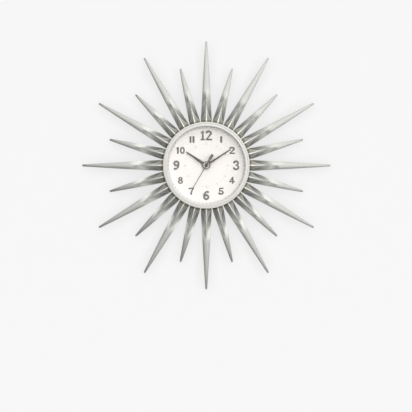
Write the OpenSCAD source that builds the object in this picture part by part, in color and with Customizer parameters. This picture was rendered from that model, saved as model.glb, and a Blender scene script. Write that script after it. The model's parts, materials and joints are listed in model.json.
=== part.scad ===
// Sunburst wall clock: a round quartz clock with 24 tapered rays.
// +Z is twelve o'clock, +X is three o'clock and the dial faces -Y.
// The origin is on the hand axis, in the plane of the wall.
// Every module below draws in the clock's own axes, x to three o'clock, y to twelve o'clock
// and z out of the wall, and stand_up() turns the result upright.

/* [Rays] */
// Diameter over the tips of the long rays
overall_d = 430; // [380:5:480]
// Radius to the tips of the short rays
short_tip_r = 173.5; // [140:0.5:185]
// Width of a ray where it leaves the bezel
ray_base_w = 18.4; // [12:0.2:18.6]
// Width of a ray at its blunt tip
ray_tip_w = 3.2; // [2:0.2:6]
// Curve of a ray's two edges, where 1 is straight
ray_taper = 1.2; // [1:0.1:1.6]
// Height of a ray's ridge above the wall at the bezel
ray_base_h = 29; // [20:0.5:29.5]
// Height of a ray's ridge above the wall at the tip
ray_tip_h = 11; // [10:0.5:14]
// Distance over which the leaf-shaped facet at the root of a ray narrows
leaf_length = 14.5; // [8:0.5:24]

/* [Bezel and dial] */
// Outer diameter of the bezel
bezel_d = 149.8; // [149:0.2:152]
// Diameter of the dial that shows inside the bezel
dial_opening_d = 135.2; // [130:0.2:136]
// Rise of the domed lens at its centre
lens_dome = 4; // [2:0.5:6]
// Height of the numerals 12, 3, 6 and 9
numeral_h = 16.5; // [10:0.5:18]
// Radius of the circle on which the numerals stand
numeral_r = 51.6; // [46:0.2:54]

/* [Hands] */
// Length of the hour hand
hour_hand_l = 42; // [30:1:46]
// Length of the minute hand
minute_hand_l = 50; // [40:1:60]
// Length of the second hand
second_hand_l = 46; // [36:1:60]
// Length of the second hand's tail
second_tail_l = 21.8; // [14:0.2:26]
// Hour shown
shown_hour = 10; // [0:1:11]
// Minute shown
shown_minute = 9; // [0:1:59]
// Second shown
shown_second = 35; // [0:1:59]

/* [Wall hanger] */
// Radius of the keyhole's entry hole
keyhole_r = 4.5; // [4:0.5:5]
// Half width of the keyhole's slot
keyhole_slot_r = 2.2; // [1.6:0.2:2.8]

/* [Hidden] */
RAY_PAIRS = 12;
ray_pitch = 180 / RAY_PAIRS;
CASE_NODES = [
    "case_shell", "retaining_ring", "bezel", "lens", "spacer_ring", "dial_plate", "dial_face",
    "case_screws", "wall_hanger"
];
MOVEMENT_NODES = [
    "movement_front_case", "movement_rear_cover", "middle_plate", "mounting_bush", "bush_nut",
    "rubber_washer", "circuit_board", "quartz_crystal", "coil_bobbin", "coil_winding", "stator",
    "positive_contact", "negative_contact", "battery"
];
TRAIN_NODES = [
    "rotor", "intermediate_wheel", "seconds_wheel", "third_wheel", "centre_wheel",
    "cannon_pinion", "minute_wheel", "setting_knob", "hour_wheel"
];
HAND_NODES = ["hour_hand", "minute_hand", "second_hand", "second_hand_cap"];

// Facets of large and small rounds, and how far a cutting shape runs past the face it cuts
$fn = 96;
small_fn = 48;
cut = 1;

// Colours
champagne = [0.80, 0.78, 0.74];
silver = [0.86, 0.85, 0.82];
warm_white = [0.96, 0.95, 0.93];
gunmetal = [0.36, 0.34, 0.31];
dark_plastic = [0.16, 0.16, 0.17];
white_plastic = [0.90, 0.90, 0.88];
steel = [0.70, 0.71, 0.73];
brass = [0.80, 0.66, 0.34];
rubber = [0.10, 0.10, 0.10];

// Running fits and line-to-line fits, as radial clearances
running = 0.05;
snug = 0.01;

// Case: a pan whose rim stands on the wall
case_r = 72;
rim_inner_r = 69;
floor_z = 4;
floor_t = 3;
floor_top = floor_z + floor_t;
pad_top = 8.5;
window_w = 58;
support_r = 59;
support_wall = 2;
support_top = 20;

// Ray roots
ray_root_r = 73.5;
ray_width_r = 80;
ray_back_z = 8;
ray_edge_t = 1.2;
leaf_top_drop = 1.4;
leaf_start_r = 77;
leaf_curve = 1.3;
leaf_ridge_half_w = 0.6;
leaf_margin = 0.5;
ridge_fall = 0.85;
flank_break = 0.45;
flank_straight = 0.55;
flank_sag = 0.3;
flank_sag_l = 34;
ray_stations = 12;
station_crowding = 1.7;
tang_w = 9;
tang_t = 4;
tang_start_r = 60;
tang_end_r = 76;
tang_clear = 0.1;
ray_screw_r = 65;

// Dial stack, bezel and lens
plate_z = 20;
plate_t = 1.6;
face_t = 0.4;
face_top = plate_z + plate_t + face_t;
stack_r = 70.6;
bush_hole_r = 4.1;
spacer_inner_r = 68.2;
spacer_top = 31;
lens_r = 70.5;
lens_t = 2;
lens_edge_z = spacer_top + lens_t;
lens_steps = 14;
bezel_r = bezel_d / 2;
opening_r = dial_opening_d / 2;
skirt_r = 71;
skirt_t = 2;
skirt_z = 15;
bezel_under_z = 30;
bezel_top = 38.5;
bezel_step_z = 37.2;
bezel_lip_t = 1.6;
rim_round_r = 2.1;
rim_round_steps = 8;
seat_gap = 0.1;
stack_gap = 0.4;
lip_w = skirt_r - stack_gap - opening_r;

// Retaining ring that clamps the dial stack into the bezel
ring_inner_r = 63;
ring_z = 16.8;
post_ring_r = 65.5;
post_r = 3.2;
post_count = 4;

// Screws: one size is used throughout
screw_r = 1.25;
screw_l = 6.5;
screw_head_r = 2.3;
screw_head_h = 1.5;
screw_slot_w = 0.6;
screw_slot_d = 0.7;
pilot_depth = 0.2;

// Wall hanger
hanger_w = 32;
hanger_h = 26;
hanger_t = 1.5;
hanger_y = 47;
hanger_z = floor_z - hanger_t;
keyhole_y = 43;
keyhole_rise = 8;
hanger_screw_x = 12;
hanger_boss_r = 3.4;
hanger_boss_top = 10;
nail_pocket_r = 6;

// Movement body
movement_w = 56;
movement_z = 3;
movement_front = 19;
movement_wall = 1.5;
ceiling_z = movement_front - movement_wall;
cover_t = 1.4;
cover_top = movement_z + cover_t;
cover_clear = 0.1;
battery_y = -19.9;
battery_z = 10.5;
battery_r = 7.1;
battery_l = 49.2;
battery_x = -24.9;
nub_r = 2.6;
nub_l = 1.2;
bay_w = 53;
bay_y = -27.3;
bay_h = 14.8;
bay_top_z = 17.9;
strip_t = 0.3;
strip_w = 8;
strip_half = 5;
bow_half = 3;
partition_y = bay_y + bay_h;
partition_t = 1.2;
room_y = partition_y + partition_t;
half_room = movement_w / 2 - movement_wall;
bush_r = 3.95;
bush_bore_r = 2.6;
bush_flange_r = 5.2;
bush_flange_z = 16.9;
bush_top = 25.2;
nut_across_flats = 12;
nut_z = face_top;
nut_h = 2.4;
washer_r = 9;
plate2_z = 10.6;
plate2_t = 1;
plate2_top = plate2_z + plate2_t;
plate2_w = 36;
plate2_x = -17.4;
post2_r = 1.2;
POSTS = [[-14, 20], [14.5, 17], [-13, -9], [9.5, -9.3]];

// Gear train: teeth and modules, then the axes, worked out from the centre distances
RUNNING_MODULE = 0.3;
SECONDS_MODULE = 0.35;
MINUTE_MODULE = 0.5;
HOUR_MODULE = 0.48;
rotor_teeth = 8;
intermediate_teeth = 40;
intermediate_leaves = 8;
seconds_teeth = 48;
seconds_leaves = 8;
third_teeth = 60;
third_leaves = 8;
centre_teeth = 64;
cannon_leaves = 12;
minute_teeth = 36;
minute_leaves = 10;
hour_teeth = 40;
third_distance = (seconds_leaves + third_teeth) * RUNNING_MODULE / 2;
CENTRE_MODULE = 2 * third_distance / (third_leaves + centre_teeth);
intermediate_distance = (intermediate_leaves + seconds_teeth) * SECONDS_MODULE / 2;
rotor_distance = (rotor_teeth + intermediate_teeth) * RUNNING_MODULE / 2;
minute_distance = (cannon_leaves + minute_teeth) * MINUTE_MODULE / 2;
intermediate_angle = 20;
rotor_angle = -20;
third_angle = 135;
minute_angle = 75;
intermediate_axis = polar(intermediate_distance, intermediate_angle);
rotor_axis = intermediate_axis + polar(rotor_distance, rotor_angle);
third_axis = polar(third_distance, third_angle);
minute_axis = polar(minute_distance, minute_angle);
addendum = 0.8;
dedendum = 1.25;
root_share = 0.46;
tip_share = 0.2;

// Levels of the train, each one a wheel's lower face
seconds_wheel_z = 5.6;
lower_wheel_z = 7.2;
centre_wheel_z = 8.8;
minute_wheel_z = 12.4;
hour_wheel_z = 13.9;
wheel_t = 0.8;
motion_t = 1;
leaf_over = 0.2;
hub_wall = 1;
hub_gap = 0.2;
clutch_t = 0.5;
clutch_w = 0.5;
arbor_r = 0.6;
pivot_r = 0.4;
pivot_z = 3.6;
pivot_top = 11.3;
pivot_depth = 0.6;
seconds_arbor_r = 0.5;
minute_tube_r = 1.75;
hour_tube_r = 2.55;
minute_arbor_r = 1;
seconds_arbor_top = 32.2;
minute_tube_top = 29.4;
hour_tube_top = 27;

// Setting knob on the minute wheel's arbor
knob_r = 5.5;
knob_t = 1.6;
knob_top = movement_z - 0.2;
knob_seat = 1.4;
knurls = 24;
knurl_r = 0.3;
knurl_fn = 16;

// Step motor
magnet_r = 2.4;
magnet_z = 8.7;
magnet_h = 1.5;
stator_z = 9;
stator_t = 0.8;
stator_w = 6.8;
stator_l = 19;
stator_arm_w = 2.4;
stator_hole_r = 2.9;
core_x = 22.6;
bobbin_l = 13;
bobbin_r = 1.7;
bobbin_flange_r = 3.1;
bobbin_flange_t = 0.6;
winding_r = 2.9;
core_clear = 0.1;

// Circuit
board_x = -26;
board_w = 8.2;
board_y = -9;
board_h = 28;
board_z = 6;
board_t = 1;
chip_w = 4;
chip_h = 1;
crystal_r = 1;
crystal_l = 6;

// Hands
hand_t = 0.6;
hour_hand_z = hour_tube_top - hand_t;
minute_hand_z = minute_tube_top - hand_t;
second_hand_z = 31.3;
second_hand_t = 0.4;
hour_hub_r = 6.4;
minute_hub_r = 4.4;
second_hub_r = 2;
hour_hand_w = 5;
hour_tip_w = 1.5;
minute_hand_w = 2.6;
minute_tip_w = 1.2;
second_hand_w = 1;
second_tip_w = 0.7;
tail_root_w = 3;
tail_end_w = 5;
second_tube_r = 1.1;
second_tube_z = 29.9;
cap_r = 2.4;
cap_h = 1.3;
second_turn = 6 * shown_second;
minute_turn = 6 * (shown_minute + shown_second / 60);
hour_turn = 30 * (shown_hour + (shown_minute + shown_second / 60) / 60);

// Numerals
numeral_t = 0.5;
numeral_stroke = 3;
arc_steps = 16;

// ---- helpers ----

function polar(r, a) = [r * cos(a), r * sin(a)];
function ray_name(kind, i) = str(kind, "_ray_", i < 10 ? "0" : "", i);

module stand_up() {
    rotate([90, 0, 0]) children();
}

module at(p, z = 0) {
    translate([p[0], p[1], z]) children();
}

// A clockwise turn from twelve o'clock
module clockwise(a) {
    rotate([0, 0, -a]) children();
}

module disc(r, z0, z1) {
    translate([0, 0, z0]) cylinder(r = r, h = z1 - z0);
}

module ring(r_out, r_in, z0, z1) {
    difference() {
        disc(r_out, z0, z1);
        disc(r_in, z0 - cut, z1 + cut);
    }
}

module box(x0, y0, z0, w, h, t) {
    translate([x0, y0, z0]) cube([w, h, t]);
}

// ---- rays ----

function ray_share(u, tip_r) = min(max((u - ray_width_r) / (tip_r - ray_width_r), 0), 1);
function ray_half_w(s) = (ray_base_w - (ray_base_w - ray_tip_w) * pow(s, ray_taper)) / 2;
function ray_station(i, tip_r) =
    ray_root_r + (tip_r - ray_root_r) * pow(i / ray_stations, station_crowding);
function leaf_share(u) = exp(-pow(max(u - leaf_start_r, 0) / leaf_length, leaf_curve));
function ridge_z(u, tip_r) = ray_tip_h
    + (ray_base_h - ray_tip_h) * pow((tip_r - u) / (tip_r - ray_root_r), ridge_fall);

// One cross-section of a ray, from the ridge down its right side and back up its left one
function ray_half_section(hw, leaf_w, leaf_top, edge_z, sag) = [
    [leaf_w, leaf_top],
    [leaf_w + flank_break * (hw - leaf_w), edge_z + (flank_straight - sag) * (leaf_top - edge_z)],
    [hw, edge_z],
    [hw, ray_back_z]
];
function ray_section(u, tip_r) =
    let (
        hw = ray_half_w(ray_share(u, tip_r)),
        widest = hw - leaf_margin,
        leaf_w = min(max(widest * leaf_share(u), leaf_ridge_half_w), widest),
        top = ridge_z(u, tip_r),
        edge_z = ray_back_z + ray_edge_t,
        leaf_top = top - leaf_top_drop * leaf_share(u) - leaf_ridge_half_w / 4,
        sag = flank_sag * exp(-pow((u - ray_root_r) / flank_sag_l, 2)),
        half = ray_half_section(hw, leaf_w, leaf_top, edge_z, sag)
    )
    concat(
        [[0, u, top]],
        [for (p = half) [p[0], u, p[1]]],
        [for (i = [len(half) - 1:-1:0]) [-half[i][0], u, half[i][1]]]
    );

module ray(tip_r, turn) {
    ring_points = 9;
    last = ray_stations * ring_points;
    points = [for (i = [0:ray_stations]) each ray_section(ray_station(i, tip_r), tip_r)];
    sides = [
        for (i = [0:ray_stations - 1], k = [0:ring_points - 1])
        let (
            a = i * ring_points + k,
            b = i * ring_points + (k + 1) % ring_points,
            c = b + ring_points,
            d = a + ring_points
        )
        each [[a, d, c], [a, c, b]]
    ];
    caps = [
        [for (k = [0:ring_points - 1]) k],
        [for (k = [ring_points - 1:-1:0]) last + k]
    ];
    clockwise(turn) difference() {
        union() {
            polyhedron(points = points, faces = concat(sides, caps));
            box(-tang_w / 2, tang_start_r, floor_top, tang_w, tang_end_r - tang_start_r, tang_t);
        }
        at([0, ray_screw_r]) disc(screw_r + snug, floor_top - cut, floor_z + screw_l + pilot_depth);
    }
}

module long_ray(i) {
    color(champagne) stand_up() ray(overall_d / 2, 2 * ray_pitch * (i - 1));
}

module short_ray(i) {
    color(champagne) stand_up() ray(short_tip_r, 2 * ray_pitch * (i - 1) + ray_pitch);
}

// ---- screws: the three groups, placed by one module ----

module at_screws() {
    for (i = [0:2 * RAY_PAIRS - 1]) clockwise(i * ray_pitch) at([0, ray_screw_r], floor_z) children();
    at_posts() translate([0, 0, floor_z]) children();
    at_hanger_screws() translate([0, 0, hanger_z]) children();
}

module at_posts() {
    for (i = [0:post_count - 1])
        clockwise(ray_pitch * (6 * i + 0.5)) at([0, post_ring_r]) children();
}

module at_hanger_screws() {
    for (side = [-1, 1]) at([side * hanger_screw_x, hanger_y]) children();
}

module screw() {
    difference() {
        union() {
            disc(screw_r, 0, screw_l);
            disc(screw_head_r, -screw_head_h, 0);
        }
        box(-screw_head_r, -screw_slot_w / 2, -screw_head_h - cut,
            2 * screw_head_r, screw_slot_w, screw_slot_d + cut);
    }
}

module case_screws() {
    color(steel) stand_up() at_screws() screw($fn = small_fn);
}

// ---- case, bezel, lens and dial ----

module case_shell() {
    color(dark_plastic) stand_up() difference() {
        union() {
            disc(case_r, floor_z, floor_top);
            ring(case_r, rim_inner_r, 0, floor_z);
            difference() {
                ring(case_r - snug, support_r, floor_top, pad_top);
                for (i = [0:2 * RAY_PAIRS - 1]) clockwise(i * ray_pitch)
                    box(-tang_w / 2 - tang_clear, support_r, floor_top, tang_w + 2 * tang_clear,
                        case_r - support_r + cut, floor_top);
                at_posts() disc(post_r + tang_clear, floor_top, pad_top + cut);
            }
            ring(support_r, support_r - support_wall, floor_top, support_top);
            at_hanger_screws() disc(hanger_boss_r, floor_top, hanger_boss_top);
        }
        box(-window_w / 2, -window_w / 2, floor_z - cut, window_w, window_w,
            floor_t + 2 * cut);
        at_screws() disc(screw_r + snug, -cut, screw_l + pilot_depth);
        at([0, keyhole_y]) disc(nail_pocket_r, floor_z - cut, floor_top + cut);
        box(-nail_pocket_r, keyhole_y, floor_z - cut, 2 * nail_pocket_r, keyhole_rise,
            floor_t + 2 * cut);
    }
}

module retaining_ring() {
    color(steel) stand_up() difference() {
        union() {
            ring(skirt_r - snug, ring_inner_r, ring_z, plate_z);
            at_posts() disc(post_r, floor_top, ring_z + cut);
        }
        at_posts() disc(screw_r + snug, floor_top - cut, floor_z + screw_l + pilot_depth);
    }
}

// The rounded outer rim of the bezel, from its top edge round to its side
function rim_round() = [
    for (i = [0:rim_round_steps])
    let (a = 90 - 90 * i / rim_round_steps)
    [bezel_r - rim_round_r + rim_round_r * cos(a), bezel_top - rim_round_r + rim_round_r * sin(a)]
];

function lens_z(r) = lens_edge_z + lens_dome * (1 - pow(r / lens_r, 2));

module bezel() {
    band_end = opening_r + lip_w;
    profile = concat(
        [
            [skirt_r, skirt_z],
            [skirt_r, lens_z(lens_r) + seat_gap],
            [opening_r, lens_z(opening_r) + seat_gap],
            [opening_r, lens_z(opening_r) + bezel_lip_t],
            [band_end, bezel_step_z],
            [band_end, bezel_top]
        ],
        rim_round(),
        [
            [bezel_r, bezel_under_z],
            [skirt_r + skirt_t, bezel_under_z],
            [skirt_r + skirt_t, skirt_z]
        ]
    );
    color(silver) stand_up() rotate_extrude() polygon(profile);
}

module lens() {
    top = [for (i = [0:lens_steps]) [lens_r * (1 - i / lens_steps), lens_z(lens_r * (1 - i / lens_steps))]];
    underside = [
        for (i = [0:lens_steps])
        let (r = spacer_inner_r * i / lens_steps)
        [r, spacer_top + lens_dome * (1 - pow(r / spacer_inner_r, 2))]
    ];
    color([0.85, 0.92, 0.95, 0.35]) stand_up() rotate_extrude()
        polygon(concat([[lens_r, spacer_top]], top, underside));
}

module spacer_ring() {
    color(warm_white) stand_up() ring(stack_r, spacer_inner_r, face_top, spacer_top);
}

module dial_plate() {
    color(steel) stand_up() ring(stack_r, bush_hole_r, plate_z, plate_z + plate_t);
}

// Stroke tools for the numerals: a path of points, and a band of one width along it
function arc_path(c, r, a0, a1) = [for (i = [0:arc_steps]) c + polar(r, a0 + (a1 - a0) * i / arc_steps)];
function side_step(path, i, w) =
    let (run = path[min(i + 1, len(path) - 1)] - path[max(i - 1, 0)])
    [-run[1], run[0]] * w / 2 / norm(run);

module stroke(path, w) {
    last = len(path) - 1;
    polygon(concat(
        [for (i = [0:last]) path[i] + side_step(path, i, w)],
        [for (i = [last:-1:0]) path[i] - side_step(path, i, w)]
    ));
}

module numeral_one(x, h, w) {
    stroke([[x, -h / 2], [x, h / 2]], w);
    stroke([[x, h / 2 - w / 2], [x - 1.2 * w, h / 2 - 1.3 * w]], w);
}

module numeral_two(x, h, w) {
    r = (0.54 * h - w) / 2;
    foot = [x - r, -h / 2 + w / 2];
    stroke(concat(arc_path([x, h / 2 - w / 2 - r], r, 165, -35), [foot]), w);
    stroke([foot - [w / 2, 0], foot + [2 * r + w / 2, 0]], w);
}

module numeral_three(h, w) {
    r = 0.29 * h - w / 2;
    rise = h / 2 - w / 2 - r;
    stroke(arc_path([0, rise], r, 150, -75), w);
    stroke(arc_path([0, -rise], r, 75, -150), w);
}

module numeral_six(h, w) {
    r = (0.62 * h - w) / 2;
    low = [0, -h / 2 + w / 2 + r];
    translate(low) difference() {
        circle(r = r + w / 2);
        circle(r = r - w / 2);
    }
    stroke(arc_path(low + [1.5 * r, 0], 2.5 * r, 176, 120), 0.9 * w);
}

module dial_face() {
    color(warm_white) stand_up() ring(stack_r, bush_hole_r, plate_z + plate_t, face_top);
    color(gunmetal) stand_up() at([0, 0], face_top - numeral_t / 2) {
        translate([0, numeral_r]) linear_extrude(numeral_t) {
            numeral_one(-numeral_h / 3, numeral_h, numeral_stroke);
            numeral_two(numeral_h / 4, numeral_h, numeral_stroke);
        }
        translate([numeral_r, 0]) linear_extrude(numeral_t)
            numeral_three(numeral_h, numeral_stroke);
        translate([0, -numeral_r]) linear_extrude(numeral_t)
            numeral_six(numeral_h, numeral_stroke);
        translate([-numeral_r, 0]) linear_extrude(numeral_t)
            rotate([0, 0, 180]) numeral_six(numeral_h, numeral_stroke);
    }
}

module wall_hanger() {
    deep = hanger_t + 2 * cut;
    color(steel) stand_up() difference() {
        box(-hanger_w / 2, hanger_y - hanger_h / 2, hanger_z, hanger_w, hanger_h, hanger_t);
        at([0, keyhole_y], hanger_z - cut) cylinder(r = keyhole_r, h = deep);
        at([0, keyhole_y + keyhole_rise], hanger_z - cut) cylinder(r = keyhole_slot_r, h = deep);
        box(-keyhole_slot_r, keyhole_y, hanger_z - cut, 2 * keyhole_slot_r, keyhole_rise, deep);
        at_hanger_screws() translate([0, 0, hanger_z - cut])
            cylinder(r = screw_r + running, h = deep, $fn = small_fn);
    }
}

// ---- movement: body, plates and circuit ----

module movement_front_case() {
    half = movement_w / 2;
    color(dark_plastic) stand_up() difference() {
        union() {
            difference() {
                union() {
                    box(-half, -half, cover_top, movement_w, movement_w, movement_front - cover_top);
                    box(-half, -half, movement_z, movement_w, half + partition_y, cover_t + cut);
                }
                box(-half_room, room_y, cover_top - cut, 2 * half_room, half_room - room_y,
                    ceiling_z - cover_top + cut);
                box(-bay_w / 2, bay_y, movement_z - cut, bay_w, bay_h,
                    bay_top_z - movement_z + cut);
            }
            for (p = POSTS) at(p) disc(post2_r, plate2_top, ceiling_z + cut, $fn = small_fn);
        }
        disc(bush_r + snug, ceiling_z - cut, movement_front + cut);
        at(minute_axis) disc(arbor_r + running, ceiling_z - cut, ceiling_z + cover_t / 2, $fn = small_fn);
    }
}

module movement_rear_cover() {
    half = movement_w / 2;
    color(dark_plastic) stand_up() difference() {
        union() {
            box(-half, partition_y + cover_clear, movement_z, movement_w,
                half - partition_y - cover_clear, cover_t);
            for (p = POSTS) at(p) disc(post2_r, cover_top - cut / 2, plate2_z, $fn = small_fn);
        }
        for (p = [[0, 0], third_axis, intermediate_axis, rotor_axis])
            at(p) disc(pivot_r + running, pivot_z - running, cover_top + cut, $fn = small_fn);
        at(minute_axis) disc(minute_arbor_r + running, movement_z - cut, cover_top + cut,
            $fn = small_fn);
    }
}

module middle_plate() {
    color(white_plastic) stand_up() difference() {
        union() {
            box(plate2_x, room_y + snug, plate2_z, plate2_w, half_room - room_y - 2 * snug, plate2_t);
            for (side = [-1, 1]) at(rotor_axis + [0, side * (stator_l - stator_arm_w) / 2])
                disc(post2_r, stator_z + stator_t, plate2_z + plate2_t / 2, $fn = small_fn);
        }
        disc(minute_tube_r + running, plate2_z - cut, plate2_top + cut, $fn = small_fn);
        at(minute_axis) disc(minute_arbor_r + running, plate2_z - cut, plate2_top + cut,
            $fn = small_fn);
        for (p = [third_axis, intermediate_axis, rotor_axis])
            at(p) disc(pivot_r + running, plate2_z - cut, pivot_top + running, $fn = small_fn);
    }
}

module mounting_bush() {
    color(brass) stand_up() difference() {
        union() {
            disc(bush_r, bush_flange_z, bush_top);
            disc(bush_flange_r, bush_flange_z, ceiling_z);
        }
        disc(bush_bore_r, bush_flange_z - cut, bush_top + cut);
    }
}

module bush_nut() {
    corner_r = nut_across_flats / 2 / cos(30);
    color(brass) stand_up() difference() {
        translate([0, 0, nut_z]) cylinder(r = corner_r, h = nut_h, $fn = 6);
        disc(bush_r + snug, nut_z - cut, nut_z + nut_h + cut);
    }
}

module rubber_washer() {
    color(rubber) stand_up() ring(washer_r, bush_hole_r, movement_front, plate_z);
}

module circuit_board() {
    color([0.10, 0.35, 0.20]) stand_up() {
        box(board_x, board_y, board_z, board_w, board_h, board_t);
        box(board_x + (board_w - chip_w) / 2, board_y + chip_w, board_z, chip_w, chip_w, board_t + chip_h);
    }
}

module quartz_crystal() {
    color(steel) stand_up() translate([board_x + board_w / 2, board_y + board_h / 2, board_z + board_t + crystal_r])
        rotate([-90, 0, 0]) cylinder(r = crystal_r, h = crystal_l, $fn = small_fn);
}

// The motor's coil: its core is the stator's long bar at core_x
module coil_axis() {
    translate([core_x, rotor_axis[1], stator_z + stator_t / 2]) rotate([-90, 0, 0])
        translate([0, 0, -bobbin_l / 2]) children();
}

module coil_bobbin() {
    core_w = stator_arm_w + 2 * core_clear;
    core_h = stator_t + 2 * core_clear;
    color(white_plastic) stand_up() coil_axis() difference() {
        union() {
            cylinder(r = bobbin_r, h = bobbin_l, $fn = small_fn);
            for (z = [0, bobbin_l - bobbin_flange_t]) translate([0, 0, z])
                cylinder(r = bobbin_flange_r, h = bobbin_flange_t, $fn = small_fn);
        }
        translate([-core_w / 2, -core_h / 2, -cut]) cube([core_w, core_h, bobbin_l + 2 * cut]);
    }
}

module coil_winding() {
    color([0.72, 0.40, 0.20]) stand_up() coil_axis() translate([0, 0, bobbin_flange_t]) difference() {
        cylinder(r = winding_r, h = bobbin_l - 2 * bobbin_flange_t, $fn = small_fn);
        translate([0, 0, -cut])
            cylinder(r = bobbin_r + snug, h = bobbin_l + 2 * cut, $fn = small_fn);
    }
}

module stator() {
    x0 = rotor_axis[0] - stator_w / 2;
    y0 = rotor_axis[1] - stator_l / 2;
    reach = core_x + stator_arm_w / 2 - x0;
    color(steel) stand_up() difference() {
        union() {
            box(x0, y0, stator_z, stator_w, stator_l, stator_t);
            box(x0, y0, stator_z, reach, stator_arm_w, stator_t);
            box(x0, y0 + stator_l - stator_arm_w, stator_z, reach, stator_arm_w, stator_t);
            box(core_x - stator_arm_w / 2, y0, stator_z, stator_arm_w, stator_l, stator_t);
        }
        at(rotor_axis) disc(stator_hole_r, stator_z - cut, stator_z + stator_t + cut);
    }
}

// Bent contact strips at the two ends of the battery bay
module contact(bow_depth) {
    profile = [
        [0, -strip_half],
        [strip_t, -strip_half],
        [strip_t, -bow_half],
        [strip_t + bow_depth, 0],
        [strip_t, bow_half],
        [strip_t, strip_half],
        [0, strip_half],
        [0, bow_half],
        [bow_depth, 0],
        [0, -bow_half]
    ];
    translate([0, battery_y, battery_z]) rotate([90, 0, 0]) translate([0, 0, -strip_w / 2])
        linear_extrude(strip_w) polygon(profile);
}

module negative_contact() {
    color(steel) stand_up() translate([-bay_w / 2, 0, 0])
        contact(battery_x + bay_w / 2 - strip_t - 2 * running);
}

module positive_contact() {
    color(steel) stand_up() translate([bay_w / 2, 0, 0]) mirror([1, 0, 0])
        contact(bay_w / 2 - (battery_x + battery_l + nub_l) - strip_t - 2 * running);
}

module battery() {
    color([0.20, 0.24, 0.30]) stand_up() translate([battery_x, battery_y, battery_z]) rotate([0, 90, 0]) {
        cylinder(r = battery_r, h = battery_l);
        cylinder(r = nub_r, h = battery_l + nub_l);
    }
}

// ---- gear train ----

// A clock gear with thin, straight-sided teeth, one of them centred on the angle a
module gear(teeth, size, t, a) {
    pitch_r = teeth * size / 2;
    root_r = pitch_r - dedendum * size;
    tip_r = pitch_r + addendum * size;
    root_half = 90 * size * root_share / root_r;
    tip_half = 90 * size * tip_share / tip_r;
    outline = [
        for (i = [0:teeth - 1], p = [[root_r, -root_half], [tip_r, -tip_half], [tip_r, tip_half], [root_r, root_half]])
        polar(p[0], a + 360 * i / teeth + p[1])
    ];
    linear_extrude(t) polygon(outline);
}

// The angle of a driven gear's tooth, half a pitch past the line back to its driver
function meshed(line, teeth) = line + 180 + 180 / teeth;

module arbor(r, z0, z1) {
    disc(r, z0, z1, $fn = small_fn);
}

// An arbor between the rear cover and the middle plate, thick up to the level shoulder_z
module pivoted_arbor(shoulder_z) {
    arbor(pivot_r, pivot_z, pivot_top);
    arbor(arbor_r, cover_top + 2 * running, shoulder_z);
}

module rotor() {
    color(dark_plastic) stand_up() at(rotor_axis) {
        pivoted_arbor(plate2_z - 2 * running);
        translate([0, 0, lower_wheel_z - leaf_over])
            gear(rotor_teeth, RUNNING_MODULE, wheel_t + 2 * leaf_over, rotor_angle + 180);
        disc(magnet_r, magnet_z, magnet_z + magnet_h);
    }
}

module intermediate_wheel() {
    color(white_plastic) stand_up() at(intermediate_axis) {
        pivoted_arbor(lower_wheel_z + wheel_t + leaf_over);
        translate([0, 0, seconds_wheel_z - leaf_over])
            gear(intermediate_leaves, SECONDS_MODULE, wheel_t + 3 * leaf_over, intermediate_angle + 180);
        translate([0, 0, lower_wheel_z])
            gear(intermediate_teeth, RUNNING_MODULE, wheel_t, meshed(rotor_angle + 180, intermediate_teeth));
    }
}

module seconds_wheel() {
    color(white_plastic) stand_up() {
        arbor(pivot_r, pivot_z, cover_top + cut / 2);
        arbor(seconds_arbor_r, cover_top + 2 * running, seconds_arbor_top);
        translate([0, 0, seconds_wheel_z])
            gear(seconds_teeth, SECONDS_MODULE, wheel_t, meshed(intermediate_angle + 180, seconds_teeth));
        translate([0, 0, lower_wheel_z - leaf_over])
            gear(seconds_leaves, RUNNING_MODULE, wheel_t + leaf_over, third_angle);
    }
}

module third_wheel() {
    color(white_plastic) stand_up() at(third_axis) {
        pivoted_arbor(plate2_z - 2 * running);
        translate([0, 0, lower_wheel_z])
            gear(third_teeth, RUNNING_MODULE, wheel_t, meshed(third_angle, third_teeth));
        translate([0, 0, centre_wheel_z - leaf_over])
            gear(third_leaves, CENTRE_MODULE, wheel_t + 2 * leaf_over, third_angle + 180);
    }
}

module centre_wheel() {
    color(white_plastic) stand_up() difference() {
        union() {
            translate([0, 0, centre_wheel_z])
                gear(centre_teeth, CENTRE_MODULE, wheel_t, meshed(third_angle + 180, centre_teeth));
            disc(minute_tube_r + hub_wall, centre_wheel_z, plate2_z - hub_gap);
        }
        disc(minute_tube_r + running, centre_wheel_z - cut, plate2_z, $fn = small_fn);
    }
}

module cannon_pinion() {
    color(steel) stand_up() difference() {
        union() {
            arbor(minute_tube_r, centre_wheel_z - clutch_t, minute_tube_top);
            arbor(minute_tube_r + clutch_w, centre_wheel_z - clutch_t, centre_wheel_z - 2 * running);
            translate([0, 0, minute_wheel_z - leaf_over])
                gear(cannon_leaves, MINUTE_MODULE, motion_t + 2 * leaf_over, minute_angle);
        }
        disc(seconds_arbor_r + running, centre_wheel_z - 2 * clutch_t, minute_tube_top + cut, $fn = small_fn);
    }
}

module minute_wheel() {
    pinion_top = hour_wheel_z + motion_t + leaf_over;
    color(white_plastic) stand_up() at(minute_axis) {
        arbor(minute_arbor_r, knob_top - knob_seat, minute_wheel_z + motion_t);
        arbor(arbor_r, minute_wheel_z, ceiling_z + pivot_depth);
        translate([0, 0, minute_wheel_z])
            gear(minute_teeth, MINUTE_MODULE, motion_t, meshed(minute_angle, minute_teeth));
        translate([0, 0, minute_wheel_z + motion_t / 2])
            gear(minute_leaves, HOUR_MODULE, pinion_top - minute_wheel_z - motion_t / 2, minute_angle + 180);
    }
}

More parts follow.
